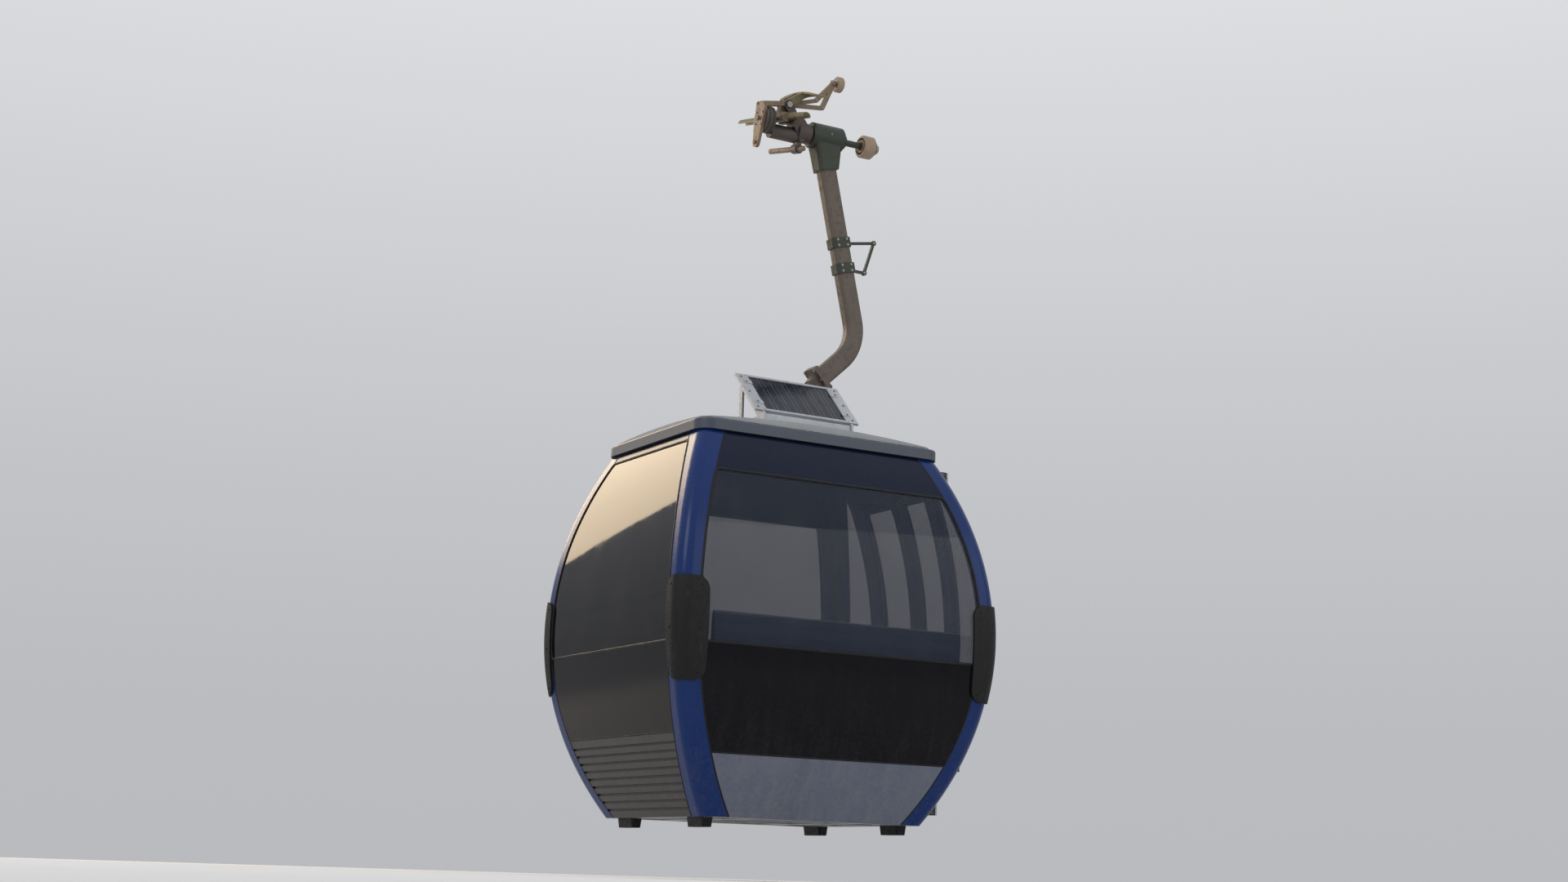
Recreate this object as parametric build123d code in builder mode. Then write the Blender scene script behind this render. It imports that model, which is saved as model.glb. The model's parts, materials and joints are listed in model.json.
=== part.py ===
from build123d import *

# Cable car cabin with its hanger and detachable grip, in millimetres.
# +X runs along the rope, level, towards the lower station; +Y points outwards, to the door side
# and the hanger arm; +Z is up. The origin is on the rope's axis in the middle of the grip's jaws.

import os
from math import atan2, cos, degrees, radians, sin, sqrt

os.makedirs("parts", exist_ok=True)

# Rope and grip
rope_r = 23.0
rope_slope = 13.0
pivot_drop = 55.0
jaw_length = 190.0
jaw_gap = 5.2

# Body: heights above its lower edge, half sizes at the roof, the belly and the lower edge
rope_height = 4200.0
body_height = 2100.0
belly_height = 1060.0
half_width_top = 775.0
half_width_belly = 1025.0
half_width_foot = 700.0
half_length_top = 577.0
half_length_belly = 860.0
half_length_foot = 612.0

# Walls
seam = 0.3
wall = 36.0
post_width = 125.0
corner_r = 70.0
glass = 6.0
glass_edge = 3.0
skirt_top = 330.0
ribbed_top = 430.0
sill_height = 900.0
end_header = 240.0
side_header_tall = 55.0
rib_pitch = 42.0
rib_groove = 14.0
rib_depth = 9.0

# Bumpers on the corner posts
bumper_down = 370.0
bumper_up = 180.0
bumper_out = 14.0
bumper_end_wrap = 175.0
bumper_side_wrap = 128.0
bumper_round = 70.0

# Roof
rim_height = 62.0
rim_out = 20.0
rim_width = 80.0
rim_round = 12.0
dome_r = 8000.0
dome_rise = 66.0
dome_skin = 24.0
dome_inset = 34.0
ceiling_inset = 70.0

# Floor and feet
frame_depth = 70.0
frame_bar = 60.0
floor_thick = 28.0
foot_length = 190.0
foot_width = 70.0
foot_height = 52.0
foot_from_edge = 150.0
foot_taper = 8.0

# Doors: clear opening, leaf and rails
door_clear = 740.0
door_low = 135.0
door_head = 115.0
door_overlap = 48.0
door_meeting = 3.0
leaf_gap = 20.0
leaf_thick = 26.0
leaf_frame = 62.0
leaf_sill = 905.0
portal_lip = 46.0
portal_proud = 13.0
rail_half = 512.0
rail_height = 62.0
rail_width = 50.0
rail_wall = 5.0
rail_slot = 22.0
rail_clear = 7.0
neck_thick = 8.0
trolley_length = 110.0
trolley_from_middle = 20.0

# Ski racks on the leaves
rack_width = 280.0
rack_low = 330.0
rack_tall = 120.0
rack_reach = 105.0
rack_wall = 12.0
rack_slots = 3
comb_low = 850.0
comb_tall = 34.0
comb_reach = 75.0

# Benches, pads and rails inside
seat_front = 300.0
seat_height = 455.0
seat_board = 24.0
seat_half = 790.0
seat_pad = 62.0
back_pad = 55.0
back_low = 560.0
back_high = 1080.0
leg_offset = 430.0
leg_thick = 26.0
hand_rail_r = 14.0
hand_rail_height = 1180.0
hand_rail_off = 70.0

# Cross frame on the roof, buffers and hanger
beam_offset = 145.0
beam_half = 185.0
beam_width = 60.0
beam_tall = 44.0
beam_clear = 14.0
buffer_r = 34.0
buffer_tall = 42.0
buffer_half_pitch = 62.0
pad_thick = 18.0
pad_margin = 46.0
leg_r = 30.0
arm_width = 115.0
arm_depth = 80.0
arm_corner = 22.0
arm_top_y = 318.0
arm_top_drop = 262.0
arm_bend_y = 566.0
arm_bend_drop = 1330.0
arm_end_y = 300.0
arm_end_drop = 1575.0
arm_bend_r = 260.0
flange_thick = 16.0
flange_margin = 26.0
root_taper = 10.0

# Hanger axle and head
axle_r = 30.0
axle_fit = 0.05
neck_r = 20.0
washer_gap = 5.5
hub_r = 80.0
hub_low_y = 190.0
hub_high_y = 412.0
hub_chamfer = 10.0
hub_root_long = 128.0
hub_root_wide = 200.0
collar_r = 44.0
collar_wide = 18.0
axle_in_y = 92.0
boss_r = 62.0
boss_end_y = 182.0
roller_r = 70.0
roller_wide = 80.0
roller_y = 600.0
roller_rim = 16.0

# Grip body, jaw, lever and springs, measured from the rope's axis
jaw_hinge_y = -6.0
jaw_hinge_up = 90.0
hinge_pin_r = 13.0
hinge_eye_r = 28.0
hinge_gap = 5.5
ear_long = 28.0
eye_long = 40.0
jaw_wall = 34.0
jaw_tip = 19.0
jaw_cap = 14.0
jaw_step = 3.0
jaw_chamfer = 10.0
web_half = 46.0
barrel_r = 45.0
barrel_drop = 82.0
nut_r = 20.0
lever_end_y = 305.0
lever_end_up = 284.0
lever_knee_y = 250.0
lever_knee_up = 120.0
lever_crown_y = 200.0
lever_crown_up = 156.0
lever_bar = 26.0
lever_thick = 24.0
lever_roller_r = 48.0
lever_roller_wide = 40.0
lever_pin_r = 11.0
lever_boss_r = 19.5
plate_long = 430.0
plate_wide = 92.0
plate_thick = 12.0
plate_y = 118.0
plate_up = 184.0
plate_bow = 26.0
strut_thick = 26.0
cup_r = 80.0
cup_wall = 20.0
cup_in_y = -88.0
cup_out_y = -152.0
cup_up = -24.0
rod_r = 14.0
rod_up = -8.0
end_plate_wide = 104.0
end_plate_foot = 60.0
end_plate_low = -200.0
end_plate_thick = 20.0
link_thick = 16.0
link_r = 14.0
link_up = 66.0
link_end_y = -36.0
bolt_r = 12.0
tongue_up_long = 440.0
tongue_down_long = 180.0
tongue_thick = 13.0
tongue_tip = 5.0
tongue_clear = 2.0
guide_r = 17.0
guide_y = 116.0
guide_drop = 158.0
guide_up_long = 330.0
guide_down_long = 90.0

# Door lever on the arm
lever_mount_drop = 705.0
lever_foot_drop = 860.0
lever_reach = 250.0
lever_foot_reach = 150.0
lever_rise = 45.0

# Solar panel near the lower end of the roof
solar_wide = 570.0
solar_long = 360.0
solar_frame_bar = 18.0
solar_thick = 26.0
solar_cell_thick = 6.0
solar_tilt = 45.0
solar_mid_x = 345.0
solar_mid_y = -45.0
solar_rise = 174.0
bracket_thick = 14.0
bracket_bar = 34.0
bracket_foot = 74.0
bracket_flange = 58.0

# Where the body hangs: straight below the hanger axle
tilt = radians(rope_slope)
pivot_x = -pivot_drop * sin(tilt)
pivot_z = -pivot_drop * cos(tilt)
foot_z = -rope_height
reach = 2000.0
level_edge = 1.0

# Planes of the grip, pitched with the rope: local x and y are (outwards, up) and (along, up)
rope_dir = Vector(cos(tilt), 0, -sin(tilt))
rope_up = Vector(sin(tilt), 0, cos(tilt))
grip_section = Plane(origin=(0, 0, 0), x_dir=(0, 1, 0), z_dir=rope_dir)
grip_plan = Plane(origin=(0, 0, 0), x_dir=rope_dir, z_dir=rope_up)

# Planes of the body: across the rope, along the rope, and level
body_section = Plane(origin=(pivot_x, 0, foot_z), x_dir=(0, 1, 0), z_dir=(1, 0, 0))
body_side = Plane(origin=(pivot_x, 0, foot_z), x_dir=(1, 0, 0), z_dir=(0, -1, 0))
body_plan = Plane(origin=(pivot_x, 0, foot_z), x_dir=(1, 0, 0), z_dir=(0, 0, 1))


def grip_across(y):
    """Plane square to the axle at y, in the grip's pitch; its normal points inwards."""
    return Plane(origin=(0, y, 0), x_dir=rope_dir, z_dir=(0, -1, 0))


def body_across(y):
    """Upright plane square to the axle at y; its normal points inwards."""
    return Plane(origin=(pivot_x, y, foot_z), x_dir=(1, 0, 0), z_dir=(0, -1, 0))


def arcs(half_belly, half_top, half_foot):
    """Half size at the belly, and the radii of the arcs that leave it upright, up and down."""
    rise = body_height - belly_height
    draw_top = half_belly - half_top
    draw_foot = half_belly - half_foot
    up = (rise**2 + draw_top**2) / (2 * draw_top)
    down = (belly_height**2 + draw_foot**2) / (2 * draw_foot)
    return half_belly, up, down


width_arcs = arcs(half_width_belly, half_width_top, half_width_foot)
length_arcs = arcs(half_length_belly, half_length_top, half_length_foot)


def half_at(form, height, inset=0.0):
    """Half size of the barrel at a height, drawn in by an inset square to the wall."""
    half_belly, up, down = form
    radius = up if height > belly_height else down
    return half_belly - radius + sqrt((radius - inset) ** 2 - (height - belly_height) ** 2)


def barrel(form, low, high, inset=0.0):
    """Barrel outline between two heights, drawn in by an inset, in the sketch's own axes."""
    breaks = [low, high]
    if low < belly_height < high:
        breaks = [low, belly_height, high]
    with BuildSketch() as outline:
        with BuildLine():
            for side in (1, -1):
                for start, end in zip(breaks, breaks[1:]):
                    heights = (start, (start + end) / 2, end)
                    ThreePointArc(*[(side * half_at(form, h, inset), h) for h in heights])
            for height in (low, high):
                half = half_at(form, height, inset)
                Line((-half, height), (half, height))
        make_face()
    return outline.sketch_local


def block(inset, low, high):
    """Barrel-shaped block with rounded upright corners, at an inset from the outer surface."""
    with BuildPart() as piece:
        with BuildSketch(body_section):
            add(barrel(width_arcs, low, high, inset))
        extrude(amount=reach, both=True)
        with BuildSketch(body_side):
            add(barrel(length_arcs, low, high, inset))
        extrude(amount=reach, both=True, mode=Mode.INTERSECT)
        upright = piece.edges().filter_by(lambda edge: edge.bounding_box().size.Z > level_edge)
        fillet(upright, corner_r - inset)
    return piece.part


def end_walls(low, high, face=0.0, thick=wall, edge=post_width):
    """The walls of both ends between two heights and between the posts."""
    with BuildPart() as piece:
        with BuildSketch(body_side):
            add(barrel(length_arcs, low, high, face))
            add(barrel(length_arcs, low, high, face + thick), mode=Mode.SUBTRACT)
        extrude(amount=reach, both=True)
        with BuildSketch(body_section):
            add(barrel(width_arcs, low, high, edge + seam))
        extrude(amount=reach, both=True, mode=Mode.INTERSECT)
    return piece.part


def side_walls(low, high, face=0.0, thick=wall, edge=post_width):
    """The walls of both long sides between two heights and between the posts."""
    with BuildPart() as piece:
        with BuildSketch(body_section):
            add(barrel(width_arcs, low, high, face))
            add(barrel(width_arcs, low, high, face + thick), mode=Mode.SUBTRACT)
        extrude(amount=reach, both=True)
        with BuildSketch(body_side):
            add(barrel(length_arcs, low, high, edge + seam))
        extrude(amount=reach, both=True, mode=Mode.INTERSECT)
    return piece.part


# Corner posts: the shell outside both pairs of walls
with BuildPart() as corner_posts:
    add(block(0, 0, body_height))
    add(block(wall, 0, body_height), mode=Mode.SUBTRACT)
    with BuildSketch(body_section):
        add(barrel(width_arcs, 0, body_height, post_width))
    extrude(amount=reach, both=True, mode=Mode.SUBTRACT)
    with BuildSketch(body_side):
        add(barrel(length_arcs, 0, body_height, post_width))
    extrude(amount=reach, both=True, mode=Mode.SUBTRACT)
corner_posts.part.label = "corner_posts"
export_step(corner_posts.part, "parts/corner_posts.step")

# Bumpers: rubber caps on the posts at the belly, with rounded ends
bumper_low = belly_height - bumper_down
bumper_high = belly_height + bumper_up
with BuildPart() as bumpers:
    add(block(-bumper_out, bumper_low, bumper_high))
    add(block(-seam, bumper_low, bumper_high), mode=Mode.SUBTRACT)
    bumper_mid = (bumper_low + bumper_high) / 2
    bumper_span = bumper_high - bumper_low
    bumper_reach = 2 * bumper_round
    with BuildSketch(body_section):
        inner = half_width_belly - bumper_end_wrap
        wide = bumper_end_wrap + bumper_reach
        for side in (1, -1):
            with Locations((side * (inner + wide / 2), bumper_mid)):
                RectangleRounded(wide, bumper_span, bumper_round)
    extrude(amount=reach, both=True, mode=Mode.INTERSECT)
    with BuildSketch(body_side):
        inner = half_length_belly - bumper_side_wrap
        wide = bumper_side_wrap + bumper_reach
        for side in (1, -1):
            with Locations((side * (inner + wide / 2), bumper_mid)):
                RectangleRounded(wide, bumper_span, bumper_round)
    extrude(amount=reach, both=True, mode=Mode.INTERSECT)
bumpers.part.label = "bumpers"
export_step(bumpers.part, "parts/bumpers.step")

# End walls, from the lower edge up: light skirt, dark panel, window, header
header_low = body_height - end_header
with BuildPart() as end_skirts:
    add(end_walls(0, skirt_top - seam))
end_skirts.part.label = "end_skirts"
export_step(end_skirts.part, "parts/end_skirts.step")

with BuildPart() as end_panels:
    add(end_walls(skirt_top, sill_height - seam))
end_panels.part.label = "end_panels"
export_step(end_panels.part, "parts/end_panels.step")

with BuildPart() as end_windows:
    add(end_walls(sill_height, header_low - seam, glass_edge, glass))
end_windows.part.label = "end_windows"
export_step(end_windows.part, "parts/end_windows.step")

with BuildPart() as end_headers:
    add(end_walls(header_low, body_height))
end_headers.part.label = "end_headers"
export_step(end_headers.part, "parts/end_headers.step")

# Inner side wall, from the lower edge up: ribbed skirt, dark panel, window, header
side_header_low = body_height - side_header_tall
rib_count = int((ribbed_top - rib_pitch / 2) // rib_pitch)
with BuildPart() as ribbed_skirt:
    add(side_walls(0, ribbed_top - seam))
    split(bisect_by=body_across(0), keep=Keep.TOP)
    with BuildSketch(body_section):
        for rib in range(1, rib_count + 1):
            height = rib * rib_pitch
            with Locations((-half_at(width_arcs, height), height)):
                Rectangle(2 * rib_depth, rib_groove)
    extrude(amount=reach, both=True, mode=Mode.SUBTRACT)
ribbed_skirt.part.label = "ribbed_skirt"
export_step(ribbed_skirt.part, "parts/ribbed_skirt.step")

with BuildPart() as side_panel:
    add(side_walls(ribbed_top, sill_height - seam))
    split(bisect_by=body_across(0), keep=Keep.TOP)
side_panel.part.label = "side_panel"
export_step(side_panel.part, "parts/side_panel.step")

with BuildPart() as side_window:
    add(side_walls(sill_height, side_header_low - seam, glass_edge, glass))
    split(bisect_by=body_across(0), keep=Keep.TOP)
side_window.part.label = "side_window"
export_step(side_window.part, "parts/side_window.step")

with BuildPart() as side_header:
    add(side_walls(side_header_low, body_height))
    split(bisect_by=body_across(0), keep=Keep.TOP)
side_header.part.label = "side_header"
export_step(side_header.part, "parts/side_header.step")

# Door side: a portal with a proud lip round the clear opening, and fixed walls beside it
door_high = body_height - door_head
portal_half = door_clear / 2 + portal_lip
portal_low = door_low + leaf_frame / 2
portal_high = door_high - leaf_frame / 2
lip_low = door_low - rail_clear + seam
lip_high = door_high + rail_clear - seam
with BuildPart() as door_portal:
    add(side_walls(0, body_height))
    with BuildSketch(body_side):
        with Locations((0, body_height / 2)):
            Rectangle(2 * portal_half, body_height)
    extrude(amount=reach, both=True, mode=Mode.INTERSECT)
    add(side_walls(lip_low, lip_high, -portal_proud, portal_proud + wall / 2))
    with BuildSketch(body_side):
        with Locations((0, body_height / 2)):
            Rectangle(2 * portal_half, body_height)
    extrude(amount=reach, both=True, mode=Mode.INTERSECT)
    with BuildSketch(body_side):
        with Locations((0, (portal_low + portal_high) / 2)):
            RectangleRounded(door_clear, portal_high - portal_low, portal_lip)
    extrude(amount=reach, both=True, mode=Mode.SUBTRACT)
    split(bisect_by=body_across(0), keep=Keep.BOTTOM)
door_portal.part.label = "door_portal"
export_step(door_portal.part, "parts/door_portal.step")


def beside_portal(low, high, face=0.0, thick=wall):
    """Fixed walls of the door side, left and right of the portal."""
    with BuildPart() as piece:
        add(side_walls(low, high, face, thick))
        split(bisect_by=body_across(0), keep=Keep.BOTTOM)
        with BuildSketch(body_side):
            with Locations((0, body_height / 2)):
                Rectangle(2 * (portal_half + seam), body_height)
        extrude(amount=reach, both=True, mode=Mode.SUBTRACT)
    return piece.part


with BuildPart() as door_side_panels:
    add(beside_portal(0, sill_height - seam))
door_side_panels.part.label = "door_side_panels"
export_step(door_side_panels.part, "parts/door_side_panels.step")

with BuildPart() as door_side_windows:
    add(beside_portal(sill_height, body_height, glass_edge, glass))
door_side_windows.part.label = "door_side_windows"
export_step(door_side_windows.part, "parts/door_side_windows.step")

# Roof: a rim all round and a shallow domed shell that it holds
rim_length = 2 * (half_length_top + rim_out)
rim_across = 2 * (half_width_top + rim_out)
with BuildPart() as roof_rim:
    with BuildSketch(body_plan.offset(body_height + seam)):
        RectangleRounded(rim_length, rim_across, corner_r + rim_out)
        RectangleRounded(
            rim_length - 2 * rim_width, rim_across - 2 * rim_width, corner_r - wall, mode=Mode.SUBTRACT
        )
    extrude(amount=rim_height)
    fillet(roof_rim.faces().sort_by(Axis.Z)[-1].outer_wire().edges(), rim_round)
roof_rim.part.label = "roof_rim"
export_step(roof_rim.part, "parts/roof_rim.step")

dome_base = body_height + rim_height + 2 * seam
dome_top = dome_base + dome_rise
dome_half_length = half_length_top + rim_out - dome_inset
dome_half_width = half_width_top + rim_out - dome_inset
dome_centre = Location((pivot_x, 0, foot_z + dome_top - dome_r))


def dome(radius, half_length, half_width, corner):
    """Room under a shallow sphere about the dome's centre, over a rounded rectangle."""
    with BuildPart() as piece:
        with BuildSketch(body_plan.offset(dome_base - dome_skin)):
            RectangleRounded(2 * half_length, 2 * half_width, corner)
        extrude(amount=2 * dome_rise)
        with Locations(dome_centre):
            Sphere(radius, mode=Mode.INTERSECT)
    return piece.part


with BuildPart() as roof_shell:
    add(dome(dome_r, dome_half_length, dome_half_width, corner_r))
    ceiling_length = dome_half_length - ceiling_inset
    ceiling_width = dome_half_width - ceiling_inset
    add(dome(dome_r - dome_skin, ceiling_length, ceiling_width, corner_r / 2), mode=Mode.SUBTRACT)
    split(bisect_by=body_plan.offset(dome_base), keep=Keep.TOP)
roof_shell.part.label = "roof_shell"
export_step(roof_shell.part, "parts/roof_shell.step")

# Floor frame: two side bars, two end bars and cross bars under the floor plate
inner_length = half_at(length_arcs, 0, wall) - 2 * seam
inner_width = half_at(width_arcs, 0, wall) - 2 * seam
with BuildPart() as floor_frame:
    with BuildSketch(body_plan):
        RectangleRounded(2 * inner_length, 2 * inner_width, corner_r - wall)
        Rectangle(2 * (inner_length - frame_bar), 2 * (inner_width - frame_bar), mode=Mode.SUBTRACT)
        for x in (-inner_length / 3, inner_length / 3):
            with Locations((x, 0)):
                Rectangle(frame_bar, 2 * inner_width - frame_bar)
        for y in (-inner_width / 2, inner_width / 2):
            with Locations((0, y)):
                Rectangle(2 * inner_length - frame_bar, frame_bar)
    extrude(amount=frame_depth)
floor_frame.part.label = "floor_frame"
export_step(floor_frame.part, "parts/floor_frame.step")

floor_low = frame_depth + seam
floor_top = floor_low + floor_thick
with BuildPart() as floor_plate:
    for level in (floor_low, floor_top):
        plate_length = half_at(length_arcs, level, wall + seam)
        plate_width = half_at(width_arcs, level, wall + seam)
        with BuildSketch(body_plan.offset(level)):
            RectangleRounded(2 * plate_length, 2 * plate_width, corner_r - wall)
    loft(ruled=True)
floor_plate.part.label = "floor_plate"
export_step(floor_plate.part, "parts/floor_plate.step")

with BuildPart() as feet:
    foot_x = inner_length - foot_from_edge
    foot_y = inner_width - foot_width / 2
    with BuildSketch(body_plan.offset(-seam)):
        for x in (-foot_x, foot_x):
            for y in (-foot_y, foot_y):
                with Locations((x, y)):
                    RectangleRounded(foot_length, foot_width, foot_width / 4)
    extrude(amount=-foot_height, taper=foot_taper)
feet.part.label = "feet"
export_step(feet.part, "parts/feet.step")

# Benches across both ends, seat pads and curved back pads
board_low = seat_height - seat_board
with BuildPart() as bench_legs:
    with BuildSketch(body_side):
        add(barrel(length_arcs, floor_top + seam, board_low + seat_board / 2, wall + leg_thick))
        with Locations((0, seat_height / 2)):
            Rectangle(2 * (seat_front + 2 * leg_thick), seat_height, mode=Mode.SUBTRACT)
    extrude(amount=leg_offset + leg_thick / 2, both=True)
    with BuildSketch(body_side):
        with Locations((0, seat_height / 2)):
            Rectangle(2 * reach, 2 * seat_height)
    extrude(amount=leg_offset - leg_thick / 2, both=True, mode=Mode.SUBTRACT)
with BuildPart() as benches:
    with BuildSketch(body_side):
        add(barrel(length_arcs, board_low, seat_height, wall + seam))
        with Locations((0, seat_height)):
            Rectangle(2 * seat_front, 2 * seat_board, mode=Mode.SUBTRACT)
    extrude(amount=seat_half, both=True)
    add(bench_legs.part)
benches.part.label = "benches"
export_step(benches.part, "parts/benches.step")

with BuildPart() as seat_pads:
    with BuildSketch(body_side):
        add(barrel(length_arcs, seat_height + seam, seat_height + seat_pad, wall + seam))
        with Locations((0, seat_height)):
            Rectangle(2 * (seat_front - leg_thick / 2), 4 * seat_pad, mode=Mode.SUBTRACT)
    extrude(amount=seat_half, both=True)
seat_pads.part.label = "seat_pads"
export_step(seat_pads.part, "parts/seat_pads.step")

with BuildPart() as back_pads:
    with BuildSketch(body_side):
        add(barrel(length_arcs, back_low, back_high, wall + seam))
        add(barrel(length_arcs, back_low, back_high, wall + back_pad), mode=Mode.SUBTRACT)
    extrude(amount=seat_half, both=True)
back_pads.part.label = "back_pads"
export_step(back_pads.part, "parts/back_pads.step")

# Hand rail along the inner side window, on two stand-offs from the posts
rail_y = -half_at(width_arcs, hand_rail_height, wall + hand_rail_off)
rail_x = half_at(length_arcs, hand_rail_height, post_width) - hand_rail_r
with BuildPart() as hand_rail:
    with BuildSketch(Plane(origin=(pivot_x, rail_y, foot_z + hand_rail_height), z_dir=(1, 0, 0))):
        Circle(hand_rail_r)
    extrude(amount=rail_x + 2 * hand_rail_r, both=True)
    for x in (-rail_x, rail_x):
        start = Vector(pivot_x + x, rail_y, foot_z + hand_rail_height)
        with BuildSketch(Plane(origin=start, z_dir=(0, -1, 0))):
            Circle(hand_rail_r)
        extrude(amount=2 * hand_rail_off)
    add(block(wall + seam, 0, body_height), mode=Mode.INTERSECT)
hand_rail.part.label = "hand_rail"
export_step(hand_rail.part, "parts/hand_rail.step")

# Door leaves: curved frames that stand off the wall by a running gap
leaf_in = -(leaf_gap + leaf_thick)
leaf_edge = door_clear / 2 + door_overlap
leaf_mid = (door_meeting + leaf_edge) / 2
leaf_width = leaf_edge - door_meeting
rail_mid_y = half_at(width_arcs, door_high, -(leaf_gap + leaf_thick / 2))
guide_mid_y = half_at(width_arcs, door_low, -(leaf_gap + leaf_thick / 2))
top_slot_low = door_high + rail_clear
bottom_slot_high = door_low - rail_clear
trolley_width = rail_width - 2 * rail_wall - 2 * rail_clear
trolley_tall = rail_height - 2 * rail_wall - 2 * rail_clear
trolley_mid = trolley_from_middle + trolley_length / 2
pane_high = door_high - leaf_frame
pane_mid = (leaf_sill + pane_high) / 2
pane_tall = pane_high - leaf_sill
pane_wide = leaf_width - 2 * leaf_frame
slot_width = (rack_width - rack_wall * (rack_slots + 1)) / rack_slots


def leaf_strip(low, high, face, thick, margin):
    """Curved strip of a right-hand leaf, drawn in by a margin at both upright edges."""
    with BuildPart() as piece:
        with BuildSketch(body_section):
            add(barrel(width_arcs, low, high, face))
            add(barrel(width_arcs, low, high, face + thick), mode=Mode.SUBTRACT)
        extrude(amount=reach, both=True)
        with BuildSketch(body_across(0)):
            with Locations((leaf_mid, (low + high) / 2)):
                Rectangle(leaf_width - 2 * margin, high - low)
        extrude(amount=-reach, mode=Mode.INTERSECT)
    return piece.part


for name, side in (("right", 1), ("left", -1)):
    with BuildPart() as door_leaf:
        add(leaf_strip(door_low, door_high, leaf_in, leaf_thick, 0))
        with BuildSketch(body_across(0)):
            with Locations((leaf_mid, pane_mid)):
                RectangleRounded(pane_wide, pane_tall, leaf_frame / 2)
        extrude(amount=-reach, mode=Mode.SUBTRACT)
        with BuildSketch(body_section.offset(trolley_mid)):
            with Locations((rail_mid_y, top_slot_low + rail_wall + seam + trolley_tall / 2)):
                Rectangle(trolley_width, trolley_tall)
            neck_low = door_high - leaf_thick
            with Locations((rail_mid_y, (neck_low + top_slot_low + rail_height / 2) / 2)):
                Rectangle(neck_thick, top_slot_low + rail_height / 2 - neck_low)
            neck_high = door_low + leaf_thick
            with Locations((guide_mid_y, (neck_high + bottom_slot_high - rail_height / 2) / 2)):
                Rectangle(neck_thick, neck_high - bottom_slot_high + rail_height / 2)
        extrude(amount=trolley_length / 2, both=True)
        if side < 0:
            mirror(about=Plane(origin=(pivot_x, 0, 0), z_dir=(1, 0, 0)), mode=Mode.REPLACE)
    door_leaf.part.label = f"door_leaf_{name}"
    export_step(door_leaf.part, f"parts/door_leaf_{name}.step")

    with BuildPart() as door_pane:
        add(leaf_strip(leaf_sill, pane_high, leaf_in + glass_edge, glass, leaf_frame))
        with BuildSketch(body_across(0)):
            with Locations((leaf_mid, pane_mid)):
                RectangleRounded(pane_wide - 2 * seam, pane_tall - 2 * seam, leaf_frame / 2 - seam)
        extrude(amount=-reach, mode=Mode.INTERSECT)
        if side < 0:
            mirror(about=Plane(origin=(pivot_x, 0, 0), z_dir=(1, 0, 0)), mode=Mode.REPLACE)
    door_pane.part.label = f"door_pane_{name}"
    export_step(door_pane.part, f"parts/door_pane_{name}.step")

    with BuildPart() as ski_rack:
        for low, tall, out, base, shift in (
            (rack_low, rack_tall, rack_reach, rack_wall, -rack_wall),
            (comb_low, comb_tall, comb_reach, 0, rack_wall),
        ):
            rack_y = half_at(width_arcs, low + tall, leaf_in) + out / 2
            with BuildSketch(body_plan.offset(low)):
                with Locations((leaf_mid, rack_y)):
                    RectangleRounded(rack_width, 2 * out, rack_wall)
            extrude(amount=tall)
            with BuildSketch(body_plan.offset(low + base)):
                with Locations((leaf_mid, rack_y + out / 2 + shift)):
                    with GridLocations(slot_width + rack_wall, 0, rack_slots, 1):
                        Rectangle(slot_width, out)
            extrude(amount=tall, mode=Mode.SUBTRACT)
        with BuildSketch(body_section):
            add(barrel(width_arcs, 0, body_height, leaf_in - seam))
        extrude(amount=reach, both=True, mode=Mode.SUBTRACT)
        if side < 0:
            mirror(about=Plane(origin=(pivot_x, 0, 0), z_dir=(1, 0, 0)), mode=Mode.REPLACE)
    ski_rack.part.label = f"ski_rack_{name}"
    export_step(ski_rack.part, f"parts/ski_rack_{name}.step")

# Door rails: an inverted channel above the leaves and an upright one below them
with BuildPart() as door_rails:
    top_mid = top_slot_low + rail_height / 2
    bottom_mid = bottom_slot_high - rail_height / 2
    with BuildSketch(body_section):
        for middle_y, middle in ((rail_mid_y, top_mid), (guide_mid_y, bottom_mid)):
            back = middle_y + rail_width / 2 - half_at(width_arcs, middle)
            with Locations((middle_y + rail_width / 2 - back / 2, middle)):
                Rectangle(back + rail_width / 2, rail_height)
    extrude(amount=rail_half, both=True)
    with BuildSketch(body_section):
        for middle_y, middle, open_side in ((rail_mid_y, top_mid, -1), (guide_mid_y, bottom_mid, 1)):
            with Locations((middle_y, middle)):
                Rectangle(rail_width - 2 * rail_wall, rail_height - 2 * rail_wall)
            with Locations((middle_y, middle + open_side * rail_height / 2)):
                Rectangle(rail_slot, rail_height)
    extrude(amount=reach, both=True, mode=Mode.SUBTRACT)
    add(block(-seam, 0, body_height), mode=Mode.SUBTRACT)
door_rails.part.label = "door_rails"
export_step(door_rails.part, "parts/door_rails.step")

# Cross frame on the roof: two short beams whose ends stand on the dome, and two ties between them
beam_low = dome_top + beam_clear
with BuildPart() as roof_frame:
    for x in (-beam_offset, beam_offset):
        with BuildSketch(body_section.offset(x)):
            with Locations((0, beam_low + beam_tall / 2)):
                Rectangle(2 * beam_half, beam_tall)
            for side in (1, -1):
                with Locations((side * (beam_half - beam_tall / 2), (dome_base + beam_low) / 2)):
                    Rectangle(beam_tall, beam_low - dome_base)
        extrude(amount=beam_width / 2, both=True)
    with BuildSketch(body_plan.offset(beam_low)):
        for y in (-buffer_half_pitch, buffer_half_pitch):
            with Locations((0, y)):
                Rectangle(2 * beam_offset, beam_tall)
    extrude(amount=beam_tall)
    add(dome(dome_r + seam, dome_half_length + seam, dome_half_width + seam, corner_r), mode=Mode.SUBTRACT)
roof_frame.part.label = "roof_frame"
export_step(roof_frame.part, "parts/roof_frame.step")

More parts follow.
